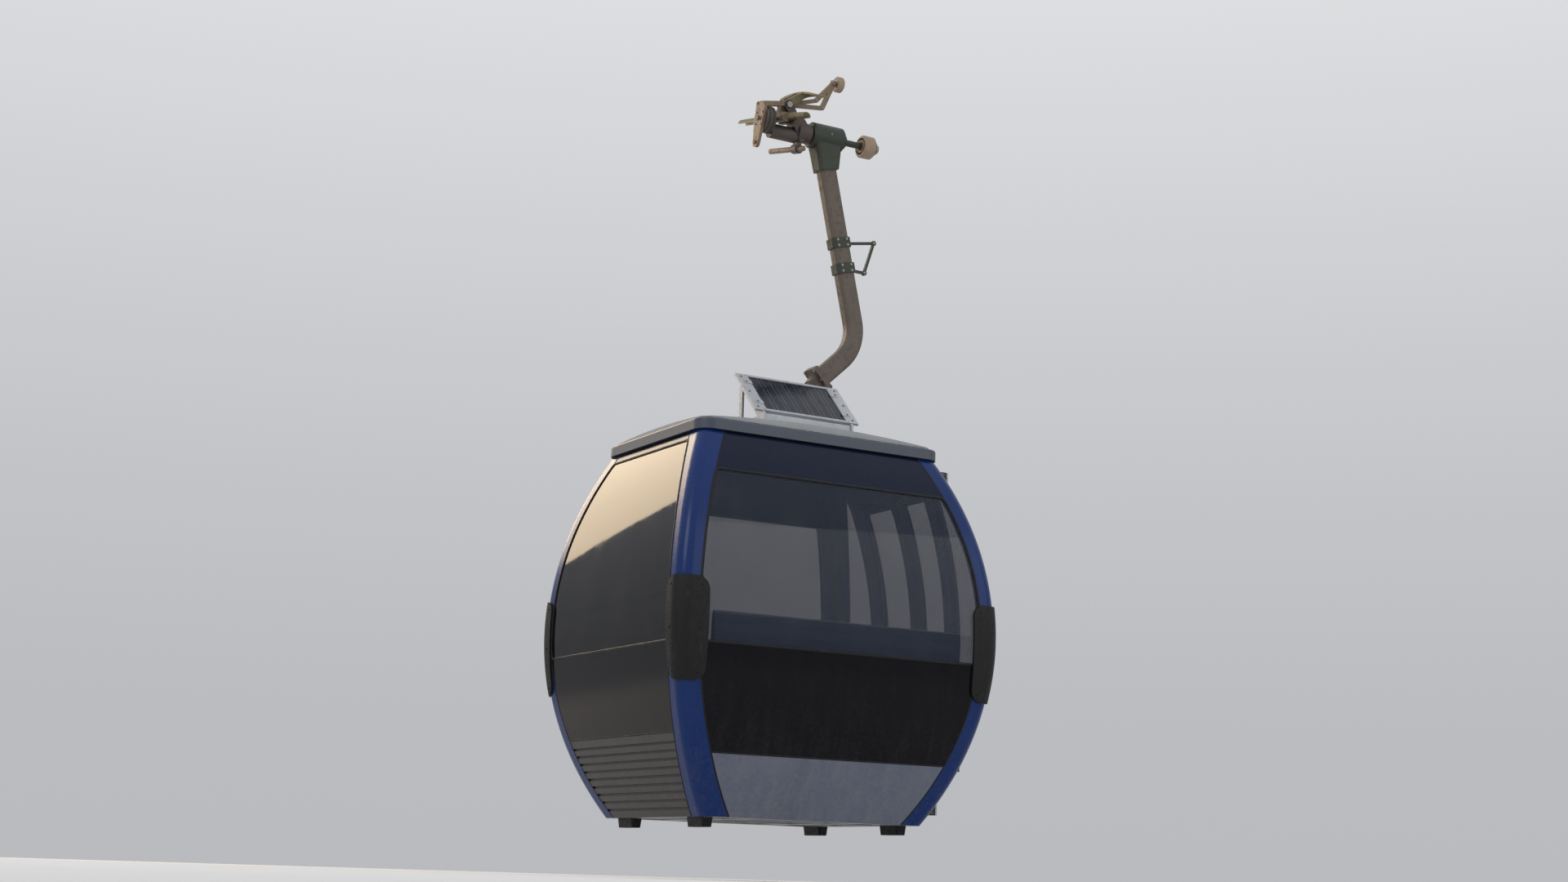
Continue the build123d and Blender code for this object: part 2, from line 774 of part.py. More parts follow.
# Rubber buffers between the cross frame and the fork
buffer_low = beam_low + beam_tall + seam
with BuildPart() as rubber_buffers:
    with BuildSketch(body_plan.offset(buffer_low)):
        with GridLocations(2 * beam_offset, 2 * buffer_half_pitch, 2, 2):
            Circle(buffer_r)
    extrude(amount=buffer_tall)
rubber_buffers.part.label = "rubber_buffers"
export_step(rubber_buffers.part, "parts/rubber_buffers.step")

# Hanger: fork on the buffers, arm, and head on the axle
pad_low = buffer_low + buffer_tall + seam
arm_start = Vector(pivot_x, arm_top_y, -arm_top_drop)
arm_bend = Vector(pivot_x, arm_bend_y, -arm_bend_drop)
arm_end = Vector(pivot_x, arm_end_y, -arm_end_drop)
arm_lean = (arm_bend - arm_start).normalized()
arm_sweep_in = (arm_end - arm_bend).normalized()
with BuildPart() as hanger_arm:
    with BuildLine() as arm_path:
        FilletPolyline(arm_start, arm_bend, arm_end, radius=arm_bend_r)
    with BuildSketch(Plane(origin=arm_start, x_dir=(1, 0, 0), z_dir=arm_lean)):
        RectangleRounded(arm_depth, arm_width, arm_corner)
    sweep(path=arm_path.line)
    with BuildSketch(Plane(origin=arm_end, x_dir=(1, 0, 0), z_dir=arm_sweep_in)):
        RectangleRounded(arm_depth + 2 * flange_margin, arm_width + 2 * flange_margin, arm_corner)
    extrude(amount=-flange_thick)
hanger_arm.part.label = "hanger_arm"
export_step(hanger_arm.part, "parts/hanger_arm.step")

fork_top = arm_end + arm_sweep_in * seam
fork_root = fork_top + arm_sweep_in * (flange_thick + leg_r)
fork_face = Plane(origin=fork_top, x_dir=(1, 0, 0), z_dir=arm_sweep_in)
with BuildPart() as hanger_fork:
    with BuildSketch(fork_face):
        RectangleRounded(arm_depth + 2 * flange_margin, arm_width + 2 * flange_margin, arm_corner)
    extrude(amount=flange_thick)
    with BuildSketch(fork_face.offset(flange_thick)):
        RectangleRounded(arm_depth, arm_width - arm_corner, arm_corner)
    extrude(amount=2 * leg_r, taper=root_taper)
    for x in (-beam_offset, beam_offset):
        leg_foot = Vector(pivot_x + x, 0, foot_z + pad_low + pad_thick / 2)
        leg = leg_foot - fork_root
        with BuildSketch(Plane(origin=fork_root, z_dir=leg)):
            Circle(leg_r)
        extrude(amount=leg.length)
        with BuildSketch(Plane(origin=(pivot_x + x, 0, foot_z + pad_low), z_dir=(0, 0, 1))):
            RectangleRounded(2 * pad_margin, 2 * (buffer_half_pitch + pad_margin), pad_margin / 2)
        extrude(amount=pad_thick)
    split(bisect_by=body_plan.offset(pad_low), keep=Keep.TOP)
hanger_fork.part.label = "hanger_fork"
export_step(hanger_fork.part, "parts/hanger_fork.step")

hub_mid = Vector(pivot_x, (hub_low_y + hub_high_y) / 2, pivot_z)
head_end = arm_start - arm_lean * seam
with BuildPart() as hanger_head:
    with BuildSketch(Plane(origin=(pivot_x, hub_low_y, pivot_z), z_dir=(0, 1, 0))):
        Circle(hub_r)
    extrude(amount=hub_high_y - hub_low_y)
    chamfer(hanger_head.edges().filter_by(GeomType.CIRCLE), hub_chamfer)
    with BuildSketch(Plane(origin=hub_mid, x_dir=(1, 0, 0), z_dir=arm_lean)):
        RectangleRounded(hub_root_long, hub_root_wide, arm_corner)
    with BuildSketch(Plane(origin=head_end, x_dir=(1, 0, 0), z_dir=arm_lean)):
        RectangleRounded(arm_depth + flange_margin, arm_width + flange_margin, arm_corner)
    loft()
    with BuildSketch(Plane(origin=(pivot_x, hub_low_y, pivot_z), z_dir=(0, 1, 0))):
        Circle(axle_r + axle_fit)
    extrude(amount=hub_high_y - hub_low_y, mode=Mode.SUBTRACT)
hanger_head.part.label = "hanger_head"
export_step(hanger_head.part, "parts/hanger_head.step")


def arm_point(drop):
    """Point on the arm's straight middle line at a drop below the rope."""
    return arm_start + arm_lean * ((drop - arm_top_drop) / -arm_lean.Z)


# Door lever: two brackets on the arm's outer face, a bar and a link between their tips
lever_side = Plane(origin=(pivot_x, 0, 0), x_dir=(0, 1, 0), z_dir=(1, 0, 0))
upper = arm_point(lever_mount_drop)
lower = arm_point(lever_foot_drop)
band_depth = arm_depth + 2 * (seam + neck_thick)
band_width = arm_width + 2 * (seam + neck_thick)
with BuildPart() as door_lever:
    with BuildSketch(lever_side):
        with BuildLine():
            Polyline(
                (upper.Y, upper.Z),
                (upper.Y + lever_reach, upper.Z + lever_rise),
                (lower.Y + lever_foot_reach, lower.Z),
                (lower.Y, lower.Z),
            )
            offset(amount=neck_thick, side=Side.BOTH, mode=Mode.REPLACE)
        make_face()
        with Locations((upper.Y + lever_reach, upper.Z + lever_rise), (lower.Y + lever_foot_reach, lower.Z)):
            Circle(2 * neck_thick)
    extrude(amount=neck_thick, both=True)
    for band in (upper, lower):
        with BuildSketch(Plane(origin=band, x_dir=(1, 0, 0), z_dir=arm_lean)):
            RectangleRounded(band_depth, band_width, arm_corner)
        extrude(amount=leg_r, both=True)
    with BuildSketch(Plane(origin=arm_start, x_dir=(1, 0, 0), z_dir=arm_lean)):
        RectangleRounded(arm_depth + 2 * seam, arm_width + 2 * seam, arm_corner + seam)
    extrude(amount=(arm_bend - arm_start).length, mode=Mode.SUBTRACT)
door_lever.part.label = "door_lever"
export_step(door_lever.part, "parts/door_lever.step")

# Solar panel: frame, cells, and two flanged brackets on the shell with a bar between them
solar_mid_up = dome_top + solar_rise
solar_face = Plane(
    origin=(pivot_x + solar_mid_x, solar_mid_y, foot_z + solar_mid_up),
    x_dir=(0, 1, 0),
    z_dir=(sin(radians(solar_tilt)), 0, cos(radians(solar_tilt))),
)
with BuildPart() as solar_frame:
    with BuildSketch(solar_face):
        Rectangle(solar_wide, solar_long)
    extrude(amount=-solar_thick)
    with BuildSketch(solar_face):
        Rectangle(solar_wide - 2 * solar_frame_bar, solar_long - 2 * solar_frame_bar)
    extrude(amount=-2 * solar_cell_thick, mode=Mode.SUBTRACT)
solar_frame.part.label = "solar_frame"
export_step(solar_frame.part, "parts/solar_frame.step")

with BuildPart() as solar_cells:
    with BuildSketch(solar_face.offset(-2 * solar_cell_thick + seam)):
        Rectangle(solar_wide - 2 * solar_frame_bar - 2 * seam, solar_long - 2 * solar_frame_bar - 2 * seam)
    extrude(amount=solar_cell_thick)
solar_cells.part.label = "solar_cells"
export_step(solar_cells.part, "parts/solar_cells.step")

half_slope = solar_long / 2
solar_sin = sin(radians(solar_tilt))
solar_cos = cos(radians(solar_tilt))
back_x = solar_mid_x - half_slope * solar_cos - solar_thick * solar_sin
back_up = solar_mid_up + half_slope * solar_sin - solar_thick * solar_cos
front_x = solar_mid_x + half_slope * solar_cos - solar_thick * solar_sin
front_up = solar_mid_up - half_slope * solar_sin - solar_thick * solar_cos
window_low = dome_top + bracket_bar / 2
window_high = back_up - bracket_bar * (1 + 1 / solar_cos)
window_end = back_x + bracket_bar + (window_high - window_low) * solar_cos / solar_sin
with BuildPart() as dome_below:
    with Locations(dome_centre):
        Sphere(dome_r + seam)
with BuildPart() as solar_brackets:
    for side in (1, -1):
        bracket_y = solar_mid_y + side * (solar_wide / 2 + seam)
        with BuildSketch(body_plan.offset(dome_base)):
            foot_mid = bracket_y + side * bracket_foot / 2
            for x in (back_x + bracket_foot / 2, front_x + bracket_bar - bracket_foot / 2):
                with Locations((x, foot_mid)):
                    Rectangle(bracket_foot, bracket_foot)
        extrude(amount=2 * dome_rise)
    with Locations(dome_centre):
        Sphere(dome_r + bracket_thick / 2, mode=Mode.INTERSECT)
    for side in (1, -1):
        bracket_y = solar_mid_y + side * (solar_wide / 2 + seam)
        with BuildSketch(body_across(bracket_y)):
            with BuildLine():
                Polyline(
                    (back_x, back_up),
                    (front_x + bracket_bar, front_up),
                    (front_x + bracket_bar, dome_base),
                    (back_x, dome_base),
                    close=True,
                )
            make_face()
            with BuildLine():
                Polyline(
                    (back_x + bracket_bar, window_high),
                    (window_end, window_low),
                    (back_x + bracket_bar, window_low),
                    close=True,
                )
            make_face(mode=Mode.SUBTRACT)
        extrude(amount=-side * bracket_thick)
        with BuildSketch(solar_face):
            with Locations((side * (solar_wide / 2 + seam + bracket_flange / 2), 0)):
                Rectangle(bracket_flange, solar_long)
        extrude(amount=-bracket_thick)
    with BuildSketch(body_across(solar_mid_y)):
        with Locations((front_x + bracket_bar / 2, (dome_base + front_up) / 2)):
            Rectangle(bracket_thick, front_up - dome_base)
    extrude(amount=solar_wide / 2 + seam + bracket_thick, both=True)
    add(dome_below.part, mode=Mode.SUBTRACT)
solar_brackets.part.label = "solar_brackets"
export_step(solar_brackets.part, "parts/solar_brackets.step")

# Grip body: fixed jaw outside the rope, web, axle boss, barrel under the rope, ears, guide lug
jaw_half = jaw_length / 2
jaw_top = rope_r + jaw_cap
jaw_out = rope_r + jaw_wall
ear_in = eye_long / 2 + hinge_gap
ear_mid = ear_in + ear_long / 2
tongue_r = rope_r + tongue_clear + tongue_thick
web_up = tongue_r + bolt_r


def ear_outline(grow):
    """Outline of a hinge ear that stands on the fixed jaw, grown by a clearance."""
    with BuildSketch() as outline:
        with Locations((jaw_hinge_y, jaw_hinge_up)):
            Circle(hinge_eye_r + grow)
        with Locations(((jaw_gap / 2 + jaw_out) / 2, jaw_top + bolt_r / 2)):
            Rectangle(jaw_out - jaw_gap / 2 + 2 * grow, bolt_r + 2 * grow)
        make_hull()
    return outline.sketch_local


with BuildPart() as grip_body:
    with BuildSketch(grip_section):
        with BuildLine():
            Polyline(
                (jaw_gap / 2, 0),
                (jaw_gap / 2, jaw_top),
                (jaw_out - jaw_chamfer, jaw_top),
                (jaw_out, jaw_top - jaw_chamfer),
                (jaw_out, jaw_chamfer - jaw_tip),
                (jaw_out - jaw_chamfer, -jaw_tip),
                (jaw_gap / 2, -jaw_tip),
                close=True,
            )
        make_face()
    extrude(amount=jaw_half, both=True)
    with BuildSketch(grip_section):
        with BuildLine():
            Polyline(
                (rope_r + jaw_step, jaw_top),
                (jaw_out, web_up),
                (axle_in_y + boss_r / 2, boss_r / 3),
                (boss_end_y - boss_r / 3, -pivot_drop + boss_r / 2),
                (boss_end_y - boss_r / 3, -pivot_drop - boss_r / 2),
                (axle_in_y + boss_r / 3, -pivot_drop - boss_r),
                (jaw_out - jaw_chamfer, -jaw_tip),
                close=True,
            )
        make_face()
    extrude(amount=web_half, both=True)
    with BuildSketch(grip_across(axle_in_y)):
        with Locations((0, -barrel_drop)):
            Circle(barrel_r)
    extrude(amount=axle_in_y - cup_in_y - seam)
    with BuildSketch(grip_across(axle_in_y)):
        with Locations((0, -pivot_drop)):
            Circle(boss_r)
    extrude(amount=axle_in_y - boss_end_y)
    for start in (ear_in, -ear_in - ear_long):
        with BuildSketch(grip_section.offset(start)):
            add(ear_outline(0))
        extrude(amount=ear_long)
    with BuildSketch(grip_section):
        with Locations((guide_y, -(guide_drop + pivot_drop) / 2)):
            Rectangle(2 * bolt_r, guide_drop - pivot_drop)
        with Locations((guide_y, -guide_drop)):
            Circle(guide_r + bolt_r)
    extrude(amount=boss_r / 2, both=True)
    with BuildSketch(grip_section):
        Circle(rope_r)
        with Locations((jaw_hinge_y, jaw_hinge_up)):
            Circle(hinge_pin_r + axle_fit)
        with Locations((guide_y, -guide_drop)):
            Circle(guide_r + axle_fit)
    extrude(amount=reach, both=True, mode=Mode.SUBTRACT)
    for side in (1, -1):
        with BuildSketch(grip_section.offset(side * jaw_half)):
            Circle(tongue_r + seam)
        extrude(amount=side * reach, mode=Mode.SUBTRACT)
    with BuildSketch(grip_across(axle_in_y)):
        with Locations((0, -pivot_drop)):
            Circle(axle_r + axle_fit)
    extrude(amount=axle_in_y - boss_end_y, mode=Mode.SUBTRACT)
grip_body.part.label = "grip_body"
export_step(grip_body.part, "parts/grip_body.step")

# Moving jaw: jaw inside the rope, hinge eye, push rod, and the forked lever with its roller pin
lever_joints = {
    "eye": (jaw_hinge_y, jaw_hinge_up),
    "low": (lever_knee_y, lever_knee_up),
    "high": (lever_crown_y, lever_crown_up),
    "end": (lever_end_y, lever_end_up),
}
lever_bars = (("eye", "low"), ("eye", "high"), ("low", "end"), ("high", "end"))
lever_root_y = lever_end_y + lever_bar / 2
lever_roller_in = lever_root_y + hinge_gap
lever_roller_out = lever_roller_in + lever_roller_wide
lever_tip = lever_roller_out + washer_gap
with BuildPart() as moving_jaw:
    with BuildSketch(grip_section):
        with BuildLine():
            Polyline(
                (-jaw_gap / 2, 0),
                (-jaw_gap / 2, jaw_top - jaw_step),
                (jaw_chamfer - jaw_out, jaw_top - jaw_step),
                (-jaw_out, jaw_top - jaw_step - jaw_chamfer),
                (-jaw_out, jaw_chamfer - jaw_tip),
                (jaw_chamfer - jaw_out, -jaw_tip),
                (-jaw_gap / 2, -jaw_tip),
                close=True,
            )
        make_face()
        Circle(rope_r, mode=Mode.SUBTRACT)
    extrude(amount=jaw_half - hinge_gap, both=True)
    with BuildSketch(grip_section):
        with Locations(lever_joints["eye"]):
            Circle(hinge_eye_r)
        with Locations((-(rope_r + jaw_out) / 2, jaw_top - 2 * bolt_r)):
            Rectangle(jaw_out - rope_r, bolt_r)
        make_hull()
        with Locations(lever_joints["eye"]):
            Circle(hinge_pin_r + axle_fit, mode=Mode.SUBTRACT)
        Circle(rope_r, mode=Mode.SUBTRACT)
    extrude(amount=eye_long / 2, both=True)
    with BuildSketch(grip_across(-jaw_out + jaw_wall / 2)):
        with Locations((0, rod_up)):
            Circle(rod_r)
    extrude(amount=-jaw_out + jaw_wall / 2 - cup_in_y + rod_r)
    with BuildSketch(grip_section):
        for start, end in lever_bars:
            first = Vector(*lever_joints[start])
            step = Vector(*lever_joints[end]) - first
            with Locations(first + step / 2):
                SlotCenterToCenter(step.length, lever_bar, rotation=degrees(atan2(step.Y, step.X)))
        with Locations(lever_joints["eye"]):
            Circle(hinge_pin_r + axle_fit, mode=Mode.SUBTRACT)
    extrude(amount=lever_thick / 2, both=True)
    for start, end, radius in (
        (lever_end_y - lever_bar / 2, lever_root_y, lever_boss_r),
        (lever_root_y, lever_tip + bolt_r, lever_pin_r),
        (lever_tip, lever_tip + bolt_r / 2, lever_boss_r),
    ):
        with BuildSketch(grip_across(start)):
            with Locations((0, lever_end_up)):
                Circle(radius)
        extrude(amount=start - end)
moving_jaw.part.label = "moving_jaw"
export_step(moving_jaw.part, "parts/moving_jaw.step")

with BuildPart() as hinge_pin:
    with BuildSketch(grip_section.offset(-ear_in - ear_long - bolt_r)):
        with Locations((jaw_hinge_y, jaw_hinge_up)):
            Circle(hinge_pin_r)
    extrude(amount=2 * (ear_in + ear_long + bolt_r))
    for start in (ear_in + ear_long + seam, -ear_in - ear_long - bolt_r):
        with BuildSketch(grip_section.offset(start)):
            with Locations((jaw_hinge_y, jaw_hinge_up)):
                RegularPolygon(nut_r, 6)
        extrude(amount=bolt_r - seam)
hinge_pin.part.label = "hinge_pin"
export_step(hinge_pin.part, "parts/hinge_pin.step")

with BuildPart() as lever_roller:
    with BuildSketch(grip_across(lever_roller_in)):
        with Locations((0, lever_end_up)):
            Circle(lever_roller_r)
            Circle(lever_pin_r + axle_fit, mode=Mode.SUBTRACT)
    extrude(amount=-lever_roller_wide)
    rims = lever_roller.edges().filter_by(GeomType.CIRCLE).group_by(SortBy.RADIUS)[-1]
    chamfer(rims, lever_roller_wide / 8)
lever_roller.part.label = "lever_roller"
export_step(lever_roller.part, "parts/lever_roller.step")

# Spring cup that the push rod enters, held by the end plate, which two links tie to the hinge ears
with BuildPart() as spring_cup:
    with BuildSketch(grip_across(cup_in_y)):
        with Locations((0, cup_up)):
            Circle(cup_r)
    extrude(amount=cup_in_y - cup_out_y)
    chamfer(spring_cup.edges().filter_by(GeomType.CIRCLE), cup_wall / 4)
    with BuildSketch(grip_across(cup_in_y)):
        with Locations((0, cup_up)):
            Circle(cup_r - cup_wall)
    extrude(amount=cup_in_y - cup_out_y - cup_wall, mode=Mode.SUBTRACT)
spring_cup.part.label = "spring_cup"
export_step(spring_cup.part, "parts/spring_cup.step")

plate_in_y = cup_out_y - seam
plate_mid_y = plate_in_y - end_plate_thick / 2
with BuildPart() as spring_plate:
    with BuildSketch(grip_across(plate_in_y)):
        with Locations((0, link_up)):
            SlotOverall(end_plate_wide, 2 * link_r)
        with Locations((0, cup_up)):
            Circle(end_plate_wide / 2)
        with Locations((0, end_plate_low + end_plate_foot / 2)):
            Circle(end_plate_foot / 2)
        make_hull()
    extrude(amount=end_plate_thick)
    link_start = Vector(plate_mid_y, link_up)
    link_end = Vector(link_end_y, jaw_hinge_up)
    link_step = link_end - link_start
    for side in (1, -1):
        with BuildSketch(grip_section.offset(side * ear_mid)):
            with Locations(link_start + link_step / 2):
                link_turn = degrees(atan2(link_step.Y, link_step.X))
                SlotCenterToCenter(link_step.length, 2 * link_r, rotation=link_turn)
        extrude(amount=link_thick / 2, both=True)
    with BuildSketch(grip_section):
        add(ear_outline(seam))
    extrude(amount=reach, both=True, mode=Mode.SUBTRACT)
    for place, size in (((0, cup_up), rod_r), ((0, end_plate_low + end_plate_foot / 2), bolt_r)):
        with BuildSketch(grip_across(plate_in_y - end_plate_thick)):
            with Locations(place):
                RegularPolygon(size, 6)
        extrude(amount=bolt_r)
spring_plate.part.label = "spring_plate"
export_step(spring_plate.part, "parts/spring_plate.step")

# Friction plate: a bowed strip beside the rope, on two struts that stand on the hinge ears
plate_low = plate_up - plate_thick
with BuildPart() as friction_plate:
    with BuildSketch(grip_across(plate_y)):
        with BuildLine():
            for up in (plate_up, plate_low):
                ThreePointArc((-plate_long / 2, up - plate_bow), (0, up), (plate_long / 2, up - plate_bow))
            for along in (-plate_long / 2, plate_long / 2):
                Line((along, plate_up - plate_bow), (along, plate_low - plate_bow))
        make_face()
    extrude(amount=plate_wide / 2, both=True)
    for side in (1, -1):
        with BuildSketch(grip_section.offset(side * ear_mid)):
            with BuildLine():
                Polyline(
                    (jaw_hinge_y - hinge_eye_r / 2, jaw_hinge_up + hinge_eye_r),
                    (plate_y - plate_wide / 2, plate_low + plate_thick / 2),
                    (plate_y + plate_wide / 4, plate_low + plate_thick / 2),
                    (jaw_hinge_y + hinge_eye_r, jaw_hinge_up),
                    (jaw_hinge_y, jaw_hinge_up),
                    close=True,
                )
            make_face()
            add(ear_outline(seam), mode=Mode.SUBTRACT)
        extrude(amount=strut_thick / 2, both=True)
friction_plate.part.label = "friction_plate"
export_step(friction_plate.part, "parts/friction_plate.step")

# Rope tongues: tapering half sleeves over the rope on both sides of the jaws
with BuildPart() as rope_tongues:
    for side, length in ((-1, tongue_up_long), (1, tongue_down_long)):
        with BuildSketch(grip_across(0)):
            root = side * (jaw_half + seam)
            tip = side * (jaw_half + seam + length)
            with BuildLine():
                Polyline(
                    (root, rope_r + tongue_clear),
                    (tip, rope_r + tongue_clear),
                    (tip, rope_r + tongue_clear + tongue_tip),
                    (root, tongue_r),
                    close=True,
                )
            make_face()
        revolve(axis=Axis((0, 0, 0), tuple(rope_dir)), revolution_arc=360)
    with BuildSketch(grip_section):
        with Locations((0, -reach / 2)):
            Rectangle(reach, reach)
    extrude(amount=reach, both=True, mode=Mode.SUBTRACT)
rope_tongues.part.label = "rope_tongues"
export_step(rope_tongues.part, "parts/rope_tongues.step")

with BuildPart() as guide_bar:
    with BuildSketch(grip_section.offset(-guide_up_long)):
        with Locations((guide_y, -guide_drop)):
            Circle(guide_r)
    extrude(amount=guide_up_long + guide_down_long)
    chamfer(guide_bar.edges().filter_by(GeomType.CIRCLE), guide_r / 3)
guide_bar.part.label = "guide_bar"
export_step(guide_bar.part, "parts/guide_bar.step")

# Hanger axle in the boss, out through the hub to the running roller
roller_in = roller_y - roller_wide / 2
roller_out = roller_y + roller_wide / 2
with BuildPart() as hanger_axle:
    for start, end, radius in (
        (axle_in_y + seam, hub_high_y + collar_wide, axle_r),
        (hub_high_y + washer_gap, hub_high_y + washer_gap + collar_wide, collar_r),
        (hub_high_y + collar_wide, roller_out + washer_gap + collar_wide, neck_r),
        (roller_in - washer_gap - collar_wide / 2, roller_in - washer_gap, axle_r),
        (roller_out + washer_gap, roller_out + washer_gap + collar_wide / 2, axle_r),
    ):
        with BuildSketch(grip_across(start)):
            with Locations((0, -pivot_drop)):
                Circle(radius)
        extrude(amount=start - end)
hanger_axle.part.label = "hanger_axle"
export_step(hanger_axle.part, "parts/hanger_axle.step")

with BuildPart() as running_roller:
    with BuildSketch(grip_across(roller_in)):
        with Locations((0, -pivot_drop)):
            Circle(roller_r)
    extrude(amount=-roller_wide)
    chamfer(running_roller.edges().filter_by(GeomType.CIRCLE), roller_rim / 2)
    for start, depth in ((roller_in, -roller_rim), (roller_out, roller_rim)):
        with BuildSketch(grip_across(start)):
            with Locations((0, -pivot_drop)):
                Circle(roller_r - roller_rim)
                Circle(axle_r + roller_rim / 2, mode=Mode.SUBTRACT)
        extrude(amount=depth, mode=Mode.SUBTRACT)
    with BuildSketch(grip_across(roller_in)):
        with Locations((0, -pivot_drop)):
            Circle(neck_r + axle_fit)
    extrude(amount=-roller_wide, mode=Mode.SUBTRACT)
running_roller.part.label = "running_roller"
export_step(running_roller.part, "parts/running_roller.step")
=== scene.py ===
"""Cable car cabin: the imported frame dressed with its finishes, trim, cushions and fasteners."""

import json
import logging
import math
from collections.abc import Sequence
from dataclasses import dataclass
from enum import Enum

import bpy
import numpy as np
from mathutils import Matrix, Quaternion, Vector


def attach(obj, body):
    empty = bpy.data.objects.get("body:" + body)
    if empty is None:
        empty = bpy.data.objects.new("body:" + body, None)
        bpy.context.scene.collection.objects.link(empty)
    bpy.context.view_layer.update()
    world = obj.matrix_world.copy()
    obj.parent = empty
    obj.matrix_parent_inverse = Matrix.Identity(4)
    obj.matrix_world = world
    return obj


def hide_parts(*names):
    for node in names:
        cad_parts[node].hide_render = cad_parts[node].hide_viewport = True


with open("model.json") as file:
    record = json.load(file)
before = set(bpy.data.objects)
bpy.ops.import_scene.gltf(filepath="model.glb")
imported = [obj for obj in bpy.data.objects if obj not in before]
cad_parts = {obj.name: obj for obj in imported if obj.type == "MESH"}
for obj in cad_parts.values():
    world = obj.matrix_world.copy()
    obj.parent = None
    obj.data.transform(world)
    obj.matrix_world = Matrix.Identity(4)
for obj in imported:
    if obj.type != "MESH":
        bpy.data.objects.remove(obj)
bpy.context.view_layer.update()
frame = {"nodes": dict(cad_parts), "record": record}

log = logging.getLogger("cabin")

Pair = tuple[float, float]
Triple = tuple[float, float, float]
Profile = Sequence[Pair]

# Shared sizes in metres and radians, creases in degrees, and shares
SLOPE = math.radians(13.0)
PIVOT_DROP = 0.055
PIVOT_X = -PIVOT_DROP * math.sin(SLOPE)
PIVOT_Z = -PIVOT_DROP * math.cos(SLOPE)
FOOT_Z = -4.2
FLOOR_Z = -4.53
PANEL_TILT = math.radians(45.0)
POST = 0.125
SEAM = 0.0003
TUBE_SIDES = 8
SCREW_SIDES = 10
BEAD_POINTS = 9
RIM_SHARE = 0.25
HARD_CREASE = 35.0
SOFT_CREASE = 60.0

# Camera of the photograph's view
CAMERA_PLACE = (10.896, -6.256, -4.517)
CAMERA_AIM = (0.0, 0.07, -1.98)
CAMERA_LENS = 50.0
CAMERA_ROLL = math.radians(1.73)

# Directions of the frame, and of the grip on its sloping rope
ACROSS, OUTWARD, UPWARD = np.eye(3)
GRIP_ALONG = np.array([math.cos(SLOPE), 0, -math.sin(SLOPE)])
GRIP_UP = np.array([math.sin(SLOPE), 0, math.cos(SLOPE)])


class Body(Enum):
    """Bodies of the frame that pieces ride on."""

    CABIN = "cabin"
    DOOR_RIGHT = "door_right"
    DOOR_LEFT = "door_left"
    GRIP = "grip"
    JAW = "jaw"
    LEVER_WHEEL = "lever_wheel"
    RUNNING_WHEEL = "running_wheel"


LEAVES = (("right", Body.DOOR_RIGHT, 1), ("left", Body.DOOR_LEFT, -1))


# Finishes


class Sheet:
    """Node sheet of a material or a world, with short calls for the nodes that finishes share."""

    def __init__(self, owner: bpy.types.ID) -> None:
        """Opens the owner's nodes, its shader if it has one, and places in the object's own metres.

        Args:
            owner: the material or world.
        """
        owner.use_nodes = True
        self.nodes = owner.node_tree.nodes
        self.links = owner.node_tree.links
        self.shader = self.nodes.get("Principled BSDF")
        self.place = self.node("TexCoord").outputs["Object"]

    def node(
        self, kind: str, *inputs: object, settings: dict | None = None, **named: object
    ) -> bpy.types.Node:
        """Adds a node.

        Args:
            kind: the node's type without its ShaderNode prefix.
            inputs: values or sockets for its first inputs, in order.
            settings: properties of the node itself.
            named: values or sockets for inputs by name, with spaces as underscores.

        Returns:
            The node.
        """
        made = self.nodes.new("ShaderNode" + kind)
        for key, value in (settings or {}).items():
            setattr(made, key, value)
        for socket, value in zip(made.inputs, inputs):
            self.feed(socket, value)
        self.fill(made, named)
        return made

    def feed(self, socket: bpy.types.NodeSocket, value: object) -> None:
        """Links a socket to another, or sets its value.

        Args:
            socket: the input socket.
            value: an output socket or a plain value.
        """
        if isinstance(value, bpy.types.NodeSocket):
            self.links.new(value, socket)
        else:
            socket.default_value = value

    def fill(self, node: bpy.types.Node, named: dict[str, object]) -> None:
        """Feeds a node's inputs by name, with spaces as underscores."""
        for key, value in named.items():
            self.feed(node.inputs[key.replace("_", " ")], value)

    def set(self, **named: object) -> None:
        """Feeds the shader's inputs by name, with spaces as underscores."""
        self.fill(self.shader, named)

    def noise(self, scale: float, detail: float = 4.0, stretch: Triple = (1, 1, 1)) -> object:
        """Soft noise over the surface.

        Args:
            scale: features per metre.
            detail: octaves.
            stretch: factor on each axis, under 1 for streaks.

        Returns:
            The factor socket.
        """
        where = self.node("Mapping", Vector=self.place, Scale=stretch).outputs[0]
        made = self.node("TexNoise", Vector=where, Scale=scale, Detail=detail, Roughness=0.6)
        return made.outputs[0]

    def ramp(
        self, factor: object, low: float, high: float, first: float = 0.0, last: float = 1.0
    ) -> object:
        """Maps a factor smoothly, so that low gives first and high gives last."""
        smooth = {"interpolation_type": "SMOOTHSTEP"}
        return self.node("MapRange", factor, low, high, first, last, settings=smooth).outputs[0]

    def math(self, kind: str, first: object, second: object = 0.0) -> object:
        """Arithmetic of the named kind on two values or sockets."""
        return self.node("Math", first, second, settings={"operation": kind}).outputs[0]

    def blend(self, factor: object, first: object, second: object) -> object:
        """Mixes two colours.

        Args:
            factor: 0 for the first, 1 for the second.
            first: colour or socket.
            second: colour or socket.

        Returns:
            The colour socket.
        """
        made = self.node("Mix", factor, settings={"data_type": "RGBA"})
        self.feed(made.inputs[6], first)
        self.feed(made.inputs[7], second)
        return made.outputs[2]

    def relief(self, height: object, depth: float, strength: float) -> None:
        """Gives the shader a bump from a height of 0 to 1: its depth in metres, and its share."""
        bump = self.node("Bump", Height=height, Distance=depth, Strength=strength)
        self.set(Normal=bump.outputs[0])


